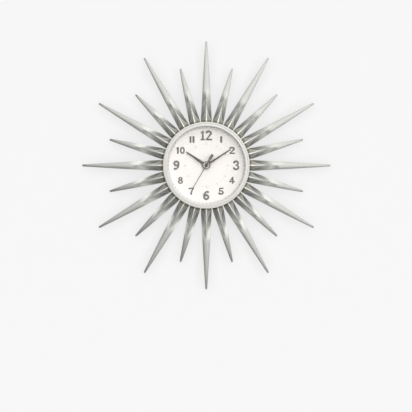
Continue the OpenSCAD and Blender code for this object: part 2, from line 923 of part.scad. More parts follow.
module setting_knob() {
    color(dark_plastic) stand_up() at(minute_axis) difference() {
        disc(knob_r, knob_top - knob_t, knob_top);
        for (i = [0:knurls - 1]) rotate([0, 0, 360 * i / knurls]) translate([knob_r, 0, 0])
            disc(knurl_r, 0, movement_z, $fn = knurl_fn);
        disc(minute_arbor_r + snug, 0, movement_z, $fn = small_fn);
    }
}

module hour_wheel() {
    color(brass) stand_up() difference() {
        union() {
            translate([0, 0, hour_wheel_z])
                gear(hour_teeth, HOUR_MODULE, motion_t, meshed(minute_angle + 180, hour_teeth));
            disc(hour_tube_r + hub_wall, hour_wheel_z, bush_flange_z - hub_gap);
            disc(hour_tube_r, hour_wheel_z, hour_tube_top);
        }
        disc(minute_tube_r + running, hour_wheel_z - cut, hour_tube_top + cut, $fn = small_fn);
    }
}

// ---- hands ----

module tapered_blade(length, root_w, tip_w, z, t) {
    translate([0, 0, z]) linear_extrude(t)
        polygon([[-root_w / 2, 0], [root_w / 2, 0], [tip_w / 2, length], [-tip_w / 2, length]]);
}

module hour_hand() {
    color(gunmetal) stand_up() clockwise(hour_turn) difference() {
        union() {
            disc(hour_hub_r, hour_hand_z, hour_hand_z + hand_t);
            tapered_blade(hour_hand_l, hour_hand_w, hour_tip_w, hour_hand_z, hand_t);
        }
        disc(hour_tube_r + snug, hour_hand_z - cut, hour_hand_z + hand_t + cut);
    }
}

module minute_hand() {
    color(gunmetal) stand_up() clockwise(minute_turn) difference() {
        union() {
            disc(minute_hub_r, minute_hand_z, minute_hand_z + hand_t);
            tapered_blade(minute_hand_l, minute_hand_w, minute_tip_w, minute_hand_z, hand_t);
        }
        disc(minute_tube_r + snug, minute_hand_z - cut, minute_hand_z + hand_t + cut);
    }
}

module second_hand() {
    color([0.58, 0.57, 0.54]) stand_up() clockwise(second_turn) difference() {
        union() {
            disc(second_hub_r, second_hand_z, second_hand_z + second_hand_t);
            disc(second_tube_r, second_tube_z, second_hand_z + second_hand_t, $fn = small_fn);
            tapered_blade(second_hand_l, second_hand_w, second_tip_w, second_hand_z, second_hand_t);
            mirror([0, 1, 0])
                tapered_blade(second_tail_l, tail_root_w, tail_end_w, second_hand_z, second_hand_t);
        }
        disc(seconds_arbor_r + snug, second_tube_z - cut, second_hand_z + cut, $fn = small_fn);
    }
}

module second_hand_cap() {
    base = second_hand_z + second_hand_t;
    color(rubber) stand_up() difference() {
        disc(cap_r, base, base + cap_h);
        disc(seconds_arbor_r + snug, base - cut, seconds_arbor_top + running, $fn = small_fn);
    }
}

// ---- one line for each node ----

for (i = [1:RAY_PAIRS]) {
    long_ray(i);
    short_ray(i);
}
case_shell();
retaining_ring();
bezel();
lens();
spacer_ring();
dial_plate();
dial_face();
case_screws();
wall_hanger();
movement_front_case();
movement_rear_cover();
middle_plate();
mounting_bush();
bush_nut();
rubber_washer();
circuit_board();
quartz_crystal();
coil_bobbin();
coil_winding();
stator();
positive_contact();
negative_contact();
battery();
rotor();
intermediate_wheel();
seconds_wheel();
third_wheel();
centre_wheel();
cannon_pinion();
minute_wheel();
setting_knob();
hour_wheel();
hour_hand();
minute_hand();
second_hand();
second_hand_cap();
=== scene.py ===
"""Looks of the sunburst wall clock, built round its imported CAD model."""

import json
import math

import bmesh
import bpy
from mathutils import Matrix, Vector

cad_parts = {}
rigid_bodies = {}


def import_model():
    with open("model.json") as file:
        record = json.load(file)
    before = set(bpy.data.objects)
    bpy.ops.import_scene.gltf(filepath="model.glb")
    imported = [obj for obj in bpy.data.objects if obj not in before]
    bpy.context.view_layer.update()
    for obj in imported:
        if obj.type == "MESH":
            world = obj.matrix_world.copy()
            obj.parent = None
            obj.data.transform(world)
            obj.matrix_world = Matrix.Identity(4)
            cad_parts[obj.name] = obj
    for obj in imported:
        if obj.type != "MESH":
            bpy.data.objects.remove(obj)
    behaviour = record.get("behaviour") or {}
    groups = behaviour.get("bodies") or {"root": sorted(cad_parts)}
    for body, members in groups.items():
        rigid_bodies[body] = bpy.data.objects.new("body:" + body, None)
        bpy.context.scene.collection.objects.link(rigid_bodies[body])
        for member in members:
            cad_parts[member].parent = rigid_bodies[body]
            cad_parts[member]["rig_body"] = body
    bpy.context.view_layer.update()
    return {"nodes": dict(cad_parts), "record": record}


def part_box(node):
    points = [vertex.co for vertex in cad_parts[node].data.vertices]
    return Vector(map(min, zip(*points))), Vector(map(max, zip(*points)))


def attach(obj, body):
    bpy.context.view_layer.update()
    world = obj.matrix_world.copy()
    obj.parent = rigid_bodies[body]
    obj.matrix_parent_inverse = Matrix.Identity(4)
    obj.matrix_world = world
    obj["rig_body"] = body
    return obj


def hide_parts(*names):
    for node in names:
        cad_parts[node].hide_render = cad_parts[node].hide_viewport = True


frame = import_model()

MM = 0.001
NODES = frame["nodes"]
BODY_OF = {node: obj["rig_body"] for node, obj in NODES.items()}
SLOT_OF = {row["node"]: row["material_slot"] for row in frame["record"]["subparts"]}


# ---------------------------------------------------------------- measuring the frame
# Everything up to the stage is in millimetres in the clock's own axes: x to three o'clock, y to
# twelve o'clock and z out of the wall. at() turns such a point into a row-frame vector. In the
# names of sizes, R is a distance from the hand axis, W a width, T a thickness and Z a level.

def at(x, y, z):
    return Vector((x, -z, y)) * MM


def on_radius(u, v, turn):
    """x and y of the point u out along the radius at angle turn, and v to its clockwise side."""
    a = math.radians(turn)
    return u * math.sin(a) + v * math.cos(a), u * math.cos(a) - v * math.sin(a)


def reach(node):
    """The largest distance of a node's points from the hand axis."""
    return max(math.hypot(v.co.x, v.co.z) for v in NODES[node].data.vertices) / MM


def depth(node):
    """The node's rear and front levels above the wall."""
    low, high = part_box(node)
    return -high.y / MM, -low.y / MM


def farthest_turn(node):
    """The clockwise angle from twelve o'clock of a node's farthest point, in degrees."""
    tip = max(NODES[node].data.vertices, key=lambda v: math.hypot(v.co.x, v.co.z)).co
    return math.degrees(math.atan2(tip.x, tip.z))


def clamp(value, low=0.0, high=1.0):
    return min(max(value, low), high)


def smoothstep(low, high, value):
    """A smooth rise from 0 at low to 1 at high."""
    t = clamp((value - low) / (high - low))
    return t * t * (3 - 2 * t)


# ---------------------------------------------------------------- node-tree helpers

def new_material(name):
    """A material with an emptied tree, and that tree with its output node."""
    mat = bpy.data.materials.new(name)
    mat.use_nodes = True
    tree = mat.node_tree
    tree.nodes.clear()
    out = tree.nodes.new("ShaderNodeOutputMaterial")
    return mat, tree, out


def feed(tree, socket, value):
    """Sets an input to a plain value, or links another node's output to it."""
    if isinstance(value, bpy.types.NodeSocket):
        tree.links.new(value, socket)
    else:
        socket.default_value = value


def add(tree, kind, **inputs):
    """A node with its inputs set: by name, with _ for a space, or by number, such as _0."""
    made = tree.nodes.new(kind)
    for key, value in inputs.items():
        feed(tree, made.inputs[int(key[1:]) if key[0] == "_" else key.replace("_", " ")], value)
    return made


def maths(tree, operation, a, b=0.0):
    made = add(tree, "ShaderNodeMath", _0=a, _1=b)
    made.operation = operation
    return made.outputs[0]


def mix_colour(tree, share, a, b):
    """Colour a where share is 0, colour b where it is 1."""
    made = tree.nodes.new("ShaderNodeMix")
    made.data_type = "RGBA"
    for index, value in ((0, share), (6, a), (7, b)):
        feed(tree, made.inputs[index], value)
    return made.outputs[2]


def object_place(tree):
    """A point's place in its object's own axes, in metres."""
    return tree.nodes.new("ShaderNodeTexCoord").outputs["Object"]


def noise(tree, scale, detail=3.0, where=None):
    if where is None:
        where = object_place(tree)
    return add(tree, "ShaderNodeTexNoise", Vector=where, Scale=scale, Detail=detail).outputs[0]


def bump(tree, height, strength, distance):
    return add(tree, "ShaderNodeBump", Height=height, Strength=strength, Distance=distance).outputs[0]


def polar_place(tree):
    """The distance from the hand axis, the angle about it and the place along it."""
    x, y, z = add(tree, "ShaderNodeSeparateXYZ", Vector=object_place(tree)).outputs
    x_squared, z_squared = maths(tree, "MULTIPLY", x, x), maths(tree, "MULTIPLY", z, z)
    radius = maths(tree, "SQRT", maths(tree, "ADD", x_squared, z_squared))
    return radius, maths(tree, "ARCTAN2", x, z), y


def rise_between(tree, value, low, high):
    """0 up to low, 1 from high on."""
    return add(tree, "ShaderNodeMapRange", _0=value, _1=low, _2=high).outputs[0]


def scaled(tree, value, factor, start=0.0):
    """start plus factor times the value."""
    return maths(tree, "ADD", maths(tree, "MULTIPLY", value, factor), start)


def rgba(r, g, b):
    return (r, g, b, 1.0)


def toned(colour, factor):
    """A colour made darker or lighter by a factor."""
    return rgba(*[c * factor for c in colour])


def varied(tree, base, low, high, scale, detail=3.0):
    """The base colour, darkened and lightened by a noise between two factors."""
    return mix_colour(tree, noise(tree, scale, detail), toned(base, low), toned(base, high))


def finish_surface(tree, out, colour, metallic, roughness, normal=None, **more):
    """Ends a material's tree with one principled surface."""
    surface = add(tree, "ShaderNodeBsdfPrincipled",
                  Base_Color=colour, Metallic=metallic, Roughness=roughness, **more)
    if normal is not None:
        tree.links.new(normal, surface.inputs["Normal"])
    tree.links.new(surface.outputs[0], out.inputs["Surface"])


# ---------------------------------------------------------------- materials

# Radii in millimetres; the cell's shares of its length; and its bare end in metres.
CHAPTER_R, CHAPTER_BLUR = 64.2, 0.4
HUB_HIGHLIGHT_FROM, HUB_HIGHLIGHT_TO, HUB_HIGHLIGHT_BLUR = 2.9, 5.2, 0.3
BAND_START, JACKET_END = 0.72, 0.955
BARE_END = 0.0004


def ray_material():
    """Champagne metallic paint, with painted light. The shade attribute is above 0 where shade is painted
    in, at the root under the bezel and in the hollows beside each leaf, and below 0 where highlights are
    painted on the crest and flanks."""
    mat, tree, out = new_material("champagne_metallic")
    shade = add(tree, "ShaderNodeAttribute").outputs["Fac"]
    shade.node.attribute_name = "shade"
    cloud = noise(tree, 40.0, 4.0)
    metal = mix_colour(tree, cloud, rgba(0.375, 0.375, 0.357), rgba(0.425, 0.425, 0.407))
    # Painted shade, the dark olive colour, and painted highlight, the pale one, mixed into the metal by
    # the shade attribute.
    painted_shade = rgba(0.040, 0.038, 0.004)
    painted_highlight = rgba(0.86, 0.86, 0.82)
    painted_highlight_share = maths(tree, "MAXIMUM", maths(tree, "MULTIPLY", shade, -1.0), 0.0)
    painted_shade_share = maths(tree, "MAXIMUM", shade, 0.0)
    colour = mix_colour(tree, painted_shade_share, mix_colour(tree, painted_highlight_share, metal, painted_highlight), painted_shade)
    flake = bump(tree, noise(tree, 9000.0, 2.0), 0.10, 0.00002)
    finish_surface(tree, out, colour, 0.62, scaled(tree, cloud, 0.08, 0.33), flake)
    return mat


def bezel_material():
    """Pale satin metal, turned on a lathe."""
    mat, tree, out = new_material("turned_silver")
    radius, angle, y = polar_place(tree)
    lathe_place = add(tree, "ShaderNodeCombineXYZ", X=maths(tree, "MULTIPLY", radius, 9000.0),
                      Y=maths(tree, "MULTIPLY", angle, 0.7), Z=maths(tree, "MULTIPLY", y, 9000.0))
    rings = noise(tree, 1.0, 2.0, lathe_place.outputs[0])
    colour = mix_colour(tree, rings, rgba(0.60, 0.585, 0.555), rgba(0.68, 0.665, 0.635))
    finish_surface(tree, out, colour, 0.12, scaled(tree, rings, 0.12, 0.30),
                   bump(tree, rings, 0.12, 0.00003))
    return mat


def dial_material():
    """Warm white lacquered card, faintly grained, with a greyer ring under the minute track: partly the
    grey of its marks spread over it, partly painted shade from the step and the bezel.
    """
    mat, tree, out = new_material("dial_lacquer")
    card = varied(tree, (0.935, 0.892, 0.868), 0.985, 1.01, 900.0, 5.0)
    radius = maths(tree, "MULTIPLY", polar_place(tree)[0], 1 / MM)
    # A greyer ring from the step outwards: partly the marks' grey, partly painted shade of the step and
    # the bezel.
    ring = rise_between(tree, radius, CHAPTER_R - CHAPTER_BLUR, CHAPTER_R + CHAPTER_BLUR)
    colour = mix_colour(tree, ring, card, rgba(0.765, 0.737, 0.722))
    finish_surface(tree, out, colour, 0.0, 0.42, bump(tree, noise(tree, 2600.0, 2.0), 0.08, 0.00002))
    return mat


def paint_surface(tree, out, tone, roughness, metallic, coat=0.0):
    """A thin, finely grained coat of paint."""
    grain = noise(tree, 4000.0, 2.0)
    finish_surface(tree, out, tone, metallic, scaled(tree, grain, 0.12, roughness),
                   bump(tree, grain, 0.08, 0.00002), Coat_Weight=coat)


def painted_material(name, colour, roughness, metallic=0.0, coat=0.0):
    """A slightly uneven paint or print, for numerals, tracks, the second hand and its cap."""
    mat, tree, out = new_material(name)
    paint_surface(tree, out, varied(tree, colour, 0.85, 1.15, 500.0), roughness, metallic, coat)
    return mat


def hand_material():
    """Dark gunmetal, with a painted highlight on the part of the hour hand's hub round the minute hand's
    hub.
    """
    mat, tree, out = new_material("gunmetal")
    dark = varied(tree, (0.070, 0.064, 0.053), 0.85, 1.15, 500.0)
    radius = maths(tree, "MULTIPLY", polar_place(tree)[0], 1 / MM)
    # Painted highlight: a bright ring round the hand axis, on the hubs.
    rise = rise_between(tree, radius, HUB_HIGHLIGHT_FROM, HUB_HIGHLIGHT_FROM + HUB_HIGHLIGHT_BLUR)
    fall = rise_between(tree, radius, HUB_HIGHLIGHT_TO, HUB_HIGHLIGHT_TO + HUB_HIGHLIGHT_BLUR)
    tone = mix_colour(tree, maths(tree, "SUBTRACT", rise, fall), dark, rgba(0.42, 0.40, 0.37))
    paint_surface(tree, out, tone, 0.26, 0.6)
    return mat


def brushed_material(name, colour, roughness, stretch):
    """Sheet metal or turned metal with fine lines along one axis."""
    mat, tree, out = new_material(name)
    mapped = add(tree, "ShaderNodeMapping", Vector=object_place(tree), Scale=stretch).outputs[0]
    lines = noise(tree, 1.0, 3.0, mapped)
    tone = mix_colour(tree, lines, toned(colour, 0.82), toned(colour, 1.12))
    finish_surface(tree, out, tone, 1.0, scaled(tree, lines, 0.18, roughness),
                   bump(tree, lines, 0.15, 0.00003))
    return mat


def plastic_material(name, colour, roughness, grain_scale, grain_strength, through=0.0):
    """Moulded plastic or rubber with the fine texture of its mould, and some light through it."""
    mat, tree, out = new_material(name)
    grain = noise(tree, grain_scale, 2.0)
    tone = varied(tree, colour, 0.9, 1.1, 60.0)
    finish_surface(tree, out, tone, 0.0, scaled(tree, grain, 0.15, roughness),
                   bump(tree, grain, grain_strength, 0.00005),
                   Subsurface_Weight=through, Subsurface_Scale=0.001)
    return mat


def board_material():
    """Green solder mask with copper tracks under it."""
    mat, tree, out = new_material("solder_mask")
    flat = add(tree, "ShaderNodeMapping", Vector=object_place(tree), Rotation=(math.pi / 2, 0, 0))
    tracks = add(tree, "ShaderNodeTexBrick", Vector=flat.outputs[0], Color1=rgba(0, 0, 0),
                 Color2=rgba(0, 0, 0), Mortar=rgba(1, 1, 1), Scale=700.0, Mortar_Size=0.12).outputs[0]
    colour = mix_colour(tree, tracks, rgba(0.015, 0.11, 0.045), rgba(0.06, 0.22, 0.09))
    finish_surface(tree, out, colour, 0.0, 0.32, bump(tree, tracks, 0.2, 0.00005), Coat_Weight=0.4)
    return mat


def winding_material():
    """Fine enamelled copper wire, wound along the coil."""
    mat, tree, out = new_material("enamelled_copper")
    waves = add(tree, "ShaderNodeTexWave", Vector=object_place(tree), Scale=3200.0, Distortion=0.4)
    waves.bands_direction = "Z"
    wires = waves.outputs[1]
    colour = mix_colour(tree, wires, rgba(0.30, 0.10, 0.035), rgba(0.72, 0.32, 0.14))
    finish_surface(tree, out, colour, 0.9, 0.28, bump(tree, wires, 0.6, 0.00008))
    return mat


def battery_material():
    """Wrapped steel cell: a dark jacket with a brass-coloured band, and bare metal ends."""
    mat, tree, out = new_material("cell_jacket")
    x = add(tree, "ShaderNodeSeparateXYZ", Vector=object_place(tree)).outputs[0]
    low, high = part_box("battery")
    length = high.x - low.x
    band = maths(tree, "GREATER_THAN", x, low.x + length * BAND_START)
    bare = maths(tree, "MAXIMUM", maths(tree, "GREATER_THAN", x, low.x + length * JACKET_END),
                 maths(tree, "LESS_THAN", x, low.x + BARE_END))
    scuff = noise(tree, 300.0, 4.0)
    jacket = mix_colour(tree, band, rgba(0.025, 0.03, 0.04), rgba(0.62, 0.40, 0.16))
    colour = mix_colour(tree, bare, jacket, rgba(0.62, 0.61, 0.58))
    colour = mix_colour(tree, maths(tree, "MULTIPLY", scuff, 0.12), colour, rgba(0.5, 0.5, 0.5))
    metallic = maths(tree, "MAXIMUM", bare, maths(tree, "MULTIPLY", band, 0.8))
    finish_surface(tree, out, colour, metallic, scaled(tree, scuff, 0.2, 0.22),
                   bump(tree, scuff, 0.05, 0.00005))
    return mat


def lens_material():
    """Clear lens: it lets light straight through, and mirrors more towards its rim."""
    mat, tree, out = new_material("clear_lens")
    smear = noise(tree, 25.0, 3.0)
    clear = add(tree, "ShaderNodeBsdfTransparent", Color=rgba(0.995, 0.997, 0.997))
    mirror = add(tree, "ShaderNodeBsdfGlossy", Color=rgba(1, 1, 1),
                 Roughness=scaled(tree, smear, 0.03, 0.02))
    share = maths(tree, "MULTIPLY", add(tree, "ShaderNodeFresnel", IOR=1.46).outputs[0], 0.25)
    both = add(tree, "ShaderNodeMixShader", _0=share, _1=clear.outputs[0], _2=mirror.outputs[0])
    tree.links.new(both.outputs[0], out.inputs["Surface"])
    return mat


MATERIALS = {
    "ray_finish": ray_material(),
    "silver_metal": bezel_material(),
    "clear_lens": lens_material(),
    "dial_paper": dial_material(),
    "black_plastic": plastic_material("black_abs", (0.028, 0.028, 0.031), 0.42, 1500.0, 0.35),
    "white_plastic": plastic_material("white_abs", (0.78, 0.77, 0.73), 0.40, 1800.0, 0.20, 0.1),
    "gear_plastic": plastic_material("acetal", (0.80, 0.77, 0.66), 0.30, 3000.0, 0.10, 0.25),
    "zinc_steel": brushed_material("zinc_plated_steel", (0.60, 0.61, 0.62), 0.28, (300, 2500, 6000)),
    "nickel_strip": brushed_material("nickel_strip", (0.70, 0.68, 0.63), 0.20, (4000, 300, 300)),
    "brass_part": brushed_material("turned_brass", (0.80, 0.60, 0.27), 0.22, (300, 9000, 300)),
    "black_rubber": plastic_material("black_rubber", (0.02, 0.02, 0.021), 0.75, 900.0, 0.5),
    "green_board": board_material(),
    "copper_winding": winding_material(),
    "battery_jacket": battery_material(),
    "hand_metal": hand_material(),
    "second_hand_metal": painted_material("second_hand_grey", (0.085, 0.081, 0.070), 0.28, 0.6),
}
NUMERAL_INK = painted_material("numeral_grey", (0.085, 0.081, 0.076), 0.26, 0.45, 0.3)
SMALL_NUMERAL_INK = painted_material("small_numeral_grey", (0.088, 0.081, 0.073), 0.34, 0.3)
TRACK_INK = painted_material("track_grey", (0.16, 0.155, 0.15), 0.5)
CAP_BLACK = painted_material("cap_black", (0.010, 0.010, 0.010), 0.3, coat=0.2)


# ---------------------------------------------------------------- making pieces

def face_outwards(mesh):
    bm = bmesh.new()
    bm.from_mesh(mesh)
    bmesh.ops.recalc_face_normals(bm, faces=bm.faces)
    bm.to_mesh(mesh)
    bm.free()


def new_piece(name, points, faces, material, body, slot, stands_for=(), smooth_angle=40.0, shades=None):
    """A mesh piece from points in clock millimetres, riding on a CAD body."""
    mesh = bpy.data.meshes.new(name)
    mesh.from_pydata([at(*p) for p in points], [], faces)
    mesh.validate()
    mesh.materials.append(material)
    obj = bpy.data.objects.new(name, mesh)
    bpy.context.scene.collection.objects.link(obj)
    if shades is not None:
        layer = mesh.attributes.new("shade", "FLOAT", "POINT")
        layer.data.foreach_set("value", shades)
    face_outwards(mesh)
    mesh.shade_smooth()
    mesh.set_sharp_from_angle(angle=math.radians(smooth_angle))
    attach(obj, body)
    if stands_for:
        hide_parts(*stands_for)
    return obj


def grid_faces(rows, columns, wrap_rows=False, wrap_columns=False):
    """Quads of a grid whose points are stored row by row."""
    row_steps = rows if wrap_rows else rows - 1
    column_steps = columns if wrap_columns else columns - 1
    return [
        (r * columns + c, r * columns + (c + 1) % columns,
         ((r + 1) % rows) * columns + (c + 1) % columns, ((r + 1) % rows) * columns + c)
        for r in range(row_steps) for c in range(column_steps)
    ]


def lathe(profile, segments):
    """A closed (radius, z) outline turned about the hand axis."""
    points = []
    for i in range(segments):
        a = 2 * math.pi * i / segments
        points += [(r * math.sin(a), r * math.cos(a), z) for r, z in profile]
    return points, grid_faces(segments, len(profile), wrap_rows=True, wrap_columns=True)


def corner(centre_r, centre_z, radius, from_deg, to_deg, steps=6):
    """A round corner for a lathe outline."""
    angles = [math.radians(from_deg + (to_deg - from_deg) * i / steps) for i in range(steps + 1)]
    return [(centre_r + radius * math.cos(a), centre_z + radius * math.sin(a)) for a in angles]


def with_bevel(obj, width, angle=35.0):
    """Rounds the edges of a piece that are sharper than an angle. The mesh under it stays as it is."""
    edge = obj.modifiers.new("soft_edges", "BEVEL")
    edge.width = width * MM
    edge.segments = 2
    edge.limit_method = "ANGLE"
    edge.angle_limit = math.radians(angle)
    return obj


# ---------------------------------------------------------------- rays
# Along a ray, u is the distance from the hand axis and v the distance from the ray's middle
# line. The leaf is the raised facet at the root; it narrows into the ridge. From the leaf to
# the rim runs the flank, scooped at the root and domed, almost flat, towards the tip.

RAY_PITCH = 15.0
# The outline: a full width up to RAY_WIDTH_R, then a taper to the tip.
RAY_ROOT_R, RAY_WIDTH_R = 73.5, 80.0
RAY_BASE_W, RAY_TIP_W, RAY_TAPER = 18.4, 3.2, 1.2
# The levels: the ridge from root to tip, the flat back, and the rim that stands on it.
RAY_BASE_Z, RAY_TIP_Z, RIDGE_FALL = depth("long_ray_01")[1], 9.2, 0.54
RAY_BACK_Z = 8.0
RIM_T, RIM_SHARE, RIM_ROUND = 1.2, 0.6, 0.35
# The leaf, how far its edge lies below its crest, and the ridge that it narrows into.
LEAF_START, LEAF_LENGTH, LEAF_CURVE, LEAF_MARGIN = 77.0, 14.5, 1.3, 0.5
LEAF_DROP, RIDGE_DROP = 1.5, 0.12
RIDGE_W, RIDGE_SHARE = 0.5, 0.6
# The flank: how deep its scoop is, where the dome takes over, and how flat that dome is.
SCOOP_POWER = 2.1
DOME_FROM, DOME_TO = 79.0, 131.0
PILLOW, PILLOW_EDGE = 0.17, 0.92
TIP_ROUND, TIP_MIDDLE, TIP_SQUARED_MIN = 1.6, 0.5, 0.003
TANG_W, TANG_T, TANG_R0, TANG_R1, TANG_Z = 9.0, 4.0, 60.0, 76.0, 7.0

# Shares of painted shade. One with two radii fades away between them along the ray.
GROOVE_SHADE, GROOVE_OUT, GROOVE_W = (1.0, 87.0, 101.0), 1.3, 1.45
FLANK_SHADE = (0.4, 81.0, 94.0)
LEAF_SHADE, LEAF_SHADE_SLOPE = (0.58, 79.0, 101.0), 5.0
# Painted shadow where the rays pass under the bezel's overhang.
ROOT_SHADOW = (0.85, 76.8, 80.5)
RIM_SHADE, BACK_SHADE = 0.3, 0.2
# Shares of painted highlight on the crest of the leaf and, round one radius, on the flanks.
CREST_HIGHLIGHT, CREST_START, CREST_SLOPE = (0.95, 104.0, 122.0), (76.0, 78.0), 6.0
FLANK_HIGHLIGHT, FLANK_HIGHLIGHT_R, FLANK_HIGHLIGHT_L, FLANK_HIGHLIGHT_SLOPE = 0.56, 112.0, 14.0, 8.0

RAY_STATIONS, TIP_STATIONS, STATION_SPREAD = 70, 6, 1.35
LEAF_STEPS = (0.0, 0.08, 0.2, 0.45, 0.7, 0.95)
FLANK_STEPS = (0.0, 0.05, 0.12, 0.2, 0.3, 0.42, 0.55, 0.68, 0.8, 0.88, 0.92, 0.95, 0.98)
BOX_FACES = [(0, 1, 3, 2), (4, 6, 7, 5), (0, 4, 5, 1), (2, 3, 7, 6), (0, 2, 6, 4), (1, 5, 7, 3)]


def fading(shade, u):
    """A (share, from, to) shade at distance u: whole up to from, gone at to."""
    share, fade_from, fade_to = shade
    return share * (1 - smoothstep(fade_from, fade_to, u))


def ray_widths(u, tip_r):
    """Half the ray's width, half the leaf's width and how much of the leaf is left."""
    share = clamp((u - RAY_WIDTH_R) / (tip_r - RAY_WIDTH_R))
    half = (RAY_BASE_W - (RAY_BASE_W - RAY_TIP_W) * share ** RAY_TAPER) / 2
    leaf = math.exp(-(max(u - LEAF_START, 0) / LEAF_LENGTH) ** LEAF_CURVE)
    widest = half * RIDGE_SHARE if leaf < 0.5 else half - LEAF_MARGIN
    return half, min(max((half - LEAF_MARGIN) * leaf, RIDGE_W), widest), leaf


def flank_share(t, domed, pillow):
    """The share of the flank's height left at t, from 0 at the leaf's edge to 1 at the rim."""
    scoop = (1 - t) ** SCOOP_POWER
    dome = 1 - pillow * t * t - (1 - pillow) * smoothstep(PILLOW_EDGE, 1.0, t)
    return scoop * (1 - domed) + dome * domed


def ray_half_section(u, tip_r):
    """(v, z, shade) from the ridge to the back's middle, at distance u from the hand axis."""
    half, leaf_half, leaf = ray_widths(u, tip_r)
    domed = smoothstep(DOME_FROM, DOME_TO, u)
    fall = clamp((tip_r - u) / (tip_r - RAY_ROOT_R)) ** RIDGE_FALL
    top = RAY_TIP_Z + (RAY_BASE_Z - RAY_TIP_Z) * fall
    rim = RAY_BACK_Z + min(RIM_T, (top - RAY_BACK_Z) * RIM_SHARE)
    drop = LEAF_DROP * leaf + RIDGE_DROP * (1 - domed)
    flank_h = top - drop - rim
    pillow = min(PILLOW * half / flank_h, 1.0)

    # Painted shade: in the grooves beside the leaf, on the flanks and the leaf near the root, and under
    # the bezel at the root.
    groove_shade, root_shadow = fading(GROOVE_SHADE, u), fading(ROOT_SHADOW, u)
    leaf_shade = max(fading(LEAF_SHADE, u), root_shadow)
    # Painted highlights, on the crest of the leaf and on the middle of the flanks.
    crest_highlight = fading(CREST_HIGHLIGHT, u) * smoothstep(*CREST_START, u)
    flank_highlight = FLANK_HIGHLIGHT * math.exp(-((u - FLANK_HIGHLIGHT_R) / FLANK_HIGHLIGHT_L) ** 2)

    section = []
    for t in LEAF_STEPS:
        shade = leaf_shade * min(t * LEAF_SHADE_SLOPE, 1.0) - crest_highlight * max(1 - t * CREST_SLOPE, 0.0)
        section.append((leaf_half * t, top - drop * t, shade))
    for t in FLANK_STEPS:
        out = t * (half - leaf_half)
        groove = math.exp(-((out - GROOVE_OUT) / GROOVE_W) ** 2)
        painted_shade = max(groove_shade * max(groove, fading(FLANK_SHADE, u)), root_shadow)
        shade = painted_shade - flank_highlight * min(t * FLANK_HIGHLIGHT_SLOPE, 1.0)
        section.append((leaf_half + out, rim + flank_h * flank_share(t, domed, pillow), shade))
    rim_shade = RIM_SHADE * groove_shade - flank_highlight
    return section + [
        (half, rim - RIM_ROUND, rim_shade),
        (half, RAY_BACK_Z + RIM_ROUND, rim_shade),
        (half - RIM_ROUND, RAY_BACK_Z, BACK_SHADE * groove_shade),
        (half * 0.5, RAY_BACK_Z, 0.0),
    ]


def ray_ring(u, tip_r):
    """A whole cross-section, scaled down towards the middle over the rounded tip."""
    past = clamp((u - (tip_r - TIP_ROUND)) / TIP_ROUND)
    scale = math.sqrt(max(1 - past * past, TIP_SQUARED_MIN))
    middle = RAY_BACK_Z + TIP_MIDDLE
    side = ray_half_section(u, tip_r)
    ring = side + [(0.0, RAY_BACK_Z, 0.0)] + [(-v, z, shade) for v, z, shade in reversed(side[1:])]
    return [(v * scale, middle + (z - middle) * scale, shade) for v, z, shade in ring]


def ray_stations(tip_r):
    """Distances from the hand axis of the cross-sections, close together at the root and the tip."""
    body_end = tip_r - TIP_ROUND
    main = [(i / RAY_STATIONS) ** STATION_SPREAD for i in range(RAY_STATIONS + 1)]
    tip = [math.sin(math.pi / 2 * i / TIP_STATIONS) for i in range(1, TIP_STATIONS + 1)]
    return ([RAY_ROOT_R + (body_end - RAY_ROOT_R) * s for s in main]
            + [body_end + TIP_ROUND * s for s in tip])


def tang_corners():
    """(u, v, z) of the corners of the bar that screws to the case."""
    return [(u, v, z) for v in (-TANG_W / 2, TANG_W / 2) for u in (TANG_R0, TANG_R1)
            for z in (TANG_Z, TANG_Z + TANG_T)]


def make_ray(node, turn):
    """One ray with the leaf-shaped facet at its root and the tang that screws to the case."""
    tip_r = reach(node)
    stations = ray_stations(tip_r)
    rings = [ray_ring(u, tip_r) for u in stations]
    columns = len(rings[0])
    body = [(*on_radius(u, v, turn), z) for u, ring in zip(stations, rings) for v, z, shade in ring]
    tang = [(*on_radius(u, v, turn), z) for u, v, z in tang_corners()]
    shades = [shade for ring in rings for v, z, shade in ring] + [0.0] * len(tang)
    faces = grid_faces(len(stations), columns, wrap_columns=True)
    faces += [tuple(range(columns)), tuple(range(len(body) - columns, len(body)))]
    faces += [tuple(len(body) + i for i in face) for face in BOX_FACES]
    return new_piece(f"{node}_moulding", body + tang, faces, MATERIALS["ray_finish"], BODY_OF[node],
                     "ray_finish", (node,), smooth_angle=26.0, shades=shades)


def make_rays():
    """A long ray on every hour from twelve o'clock on, and a short one after each of them."""
    for number in range(1, 13):
        turn = 2 * RAY_PITCH * (number - 1)
        make_ray(f"long_ray_{number:02d}", turn)
        make_ray(f"short_ray_{number:02d}", turn + RAY_PITCH)


# ---------------------------------------------------------------- bezel, lens and dial

SEGMENTS = 240
POLE_R = 0.02
BEZEL_R = reach("bezel")
BEZEL_REAR, BEZEL_FRONT = depth("bezel")
LENS_R = reach("lens")
LENS_REAR, LENS_FRONT = depth("lens")
STACK_R = reach("spacer_ring")
DIAL_Z = depth("spacer_ring")[0]
PLATE_TOP = depth("dial_plate")[1]

SKIRT_R, SKIRT_T = 71.0, 2.0
OPENING_R, OPENING_EDGE = 67.6, 0.3
BAND_R, BAND_DIP, GROOVE_R = 70.6, 0.4, 72.3
BAND_STEPS = 6
LIP_ROUND, LIP_DROP = 0.8, 0.3
FLANGE_ROUND, FLANGE_START_DEG = 2.1, 110
UNDER_Z, UNDER_ROUND = 30.0, 0.4

LENS_RISE, LENS_T, LENS_GAP, LENS_STEPS = 4.0, 2.0, 0.1, 22

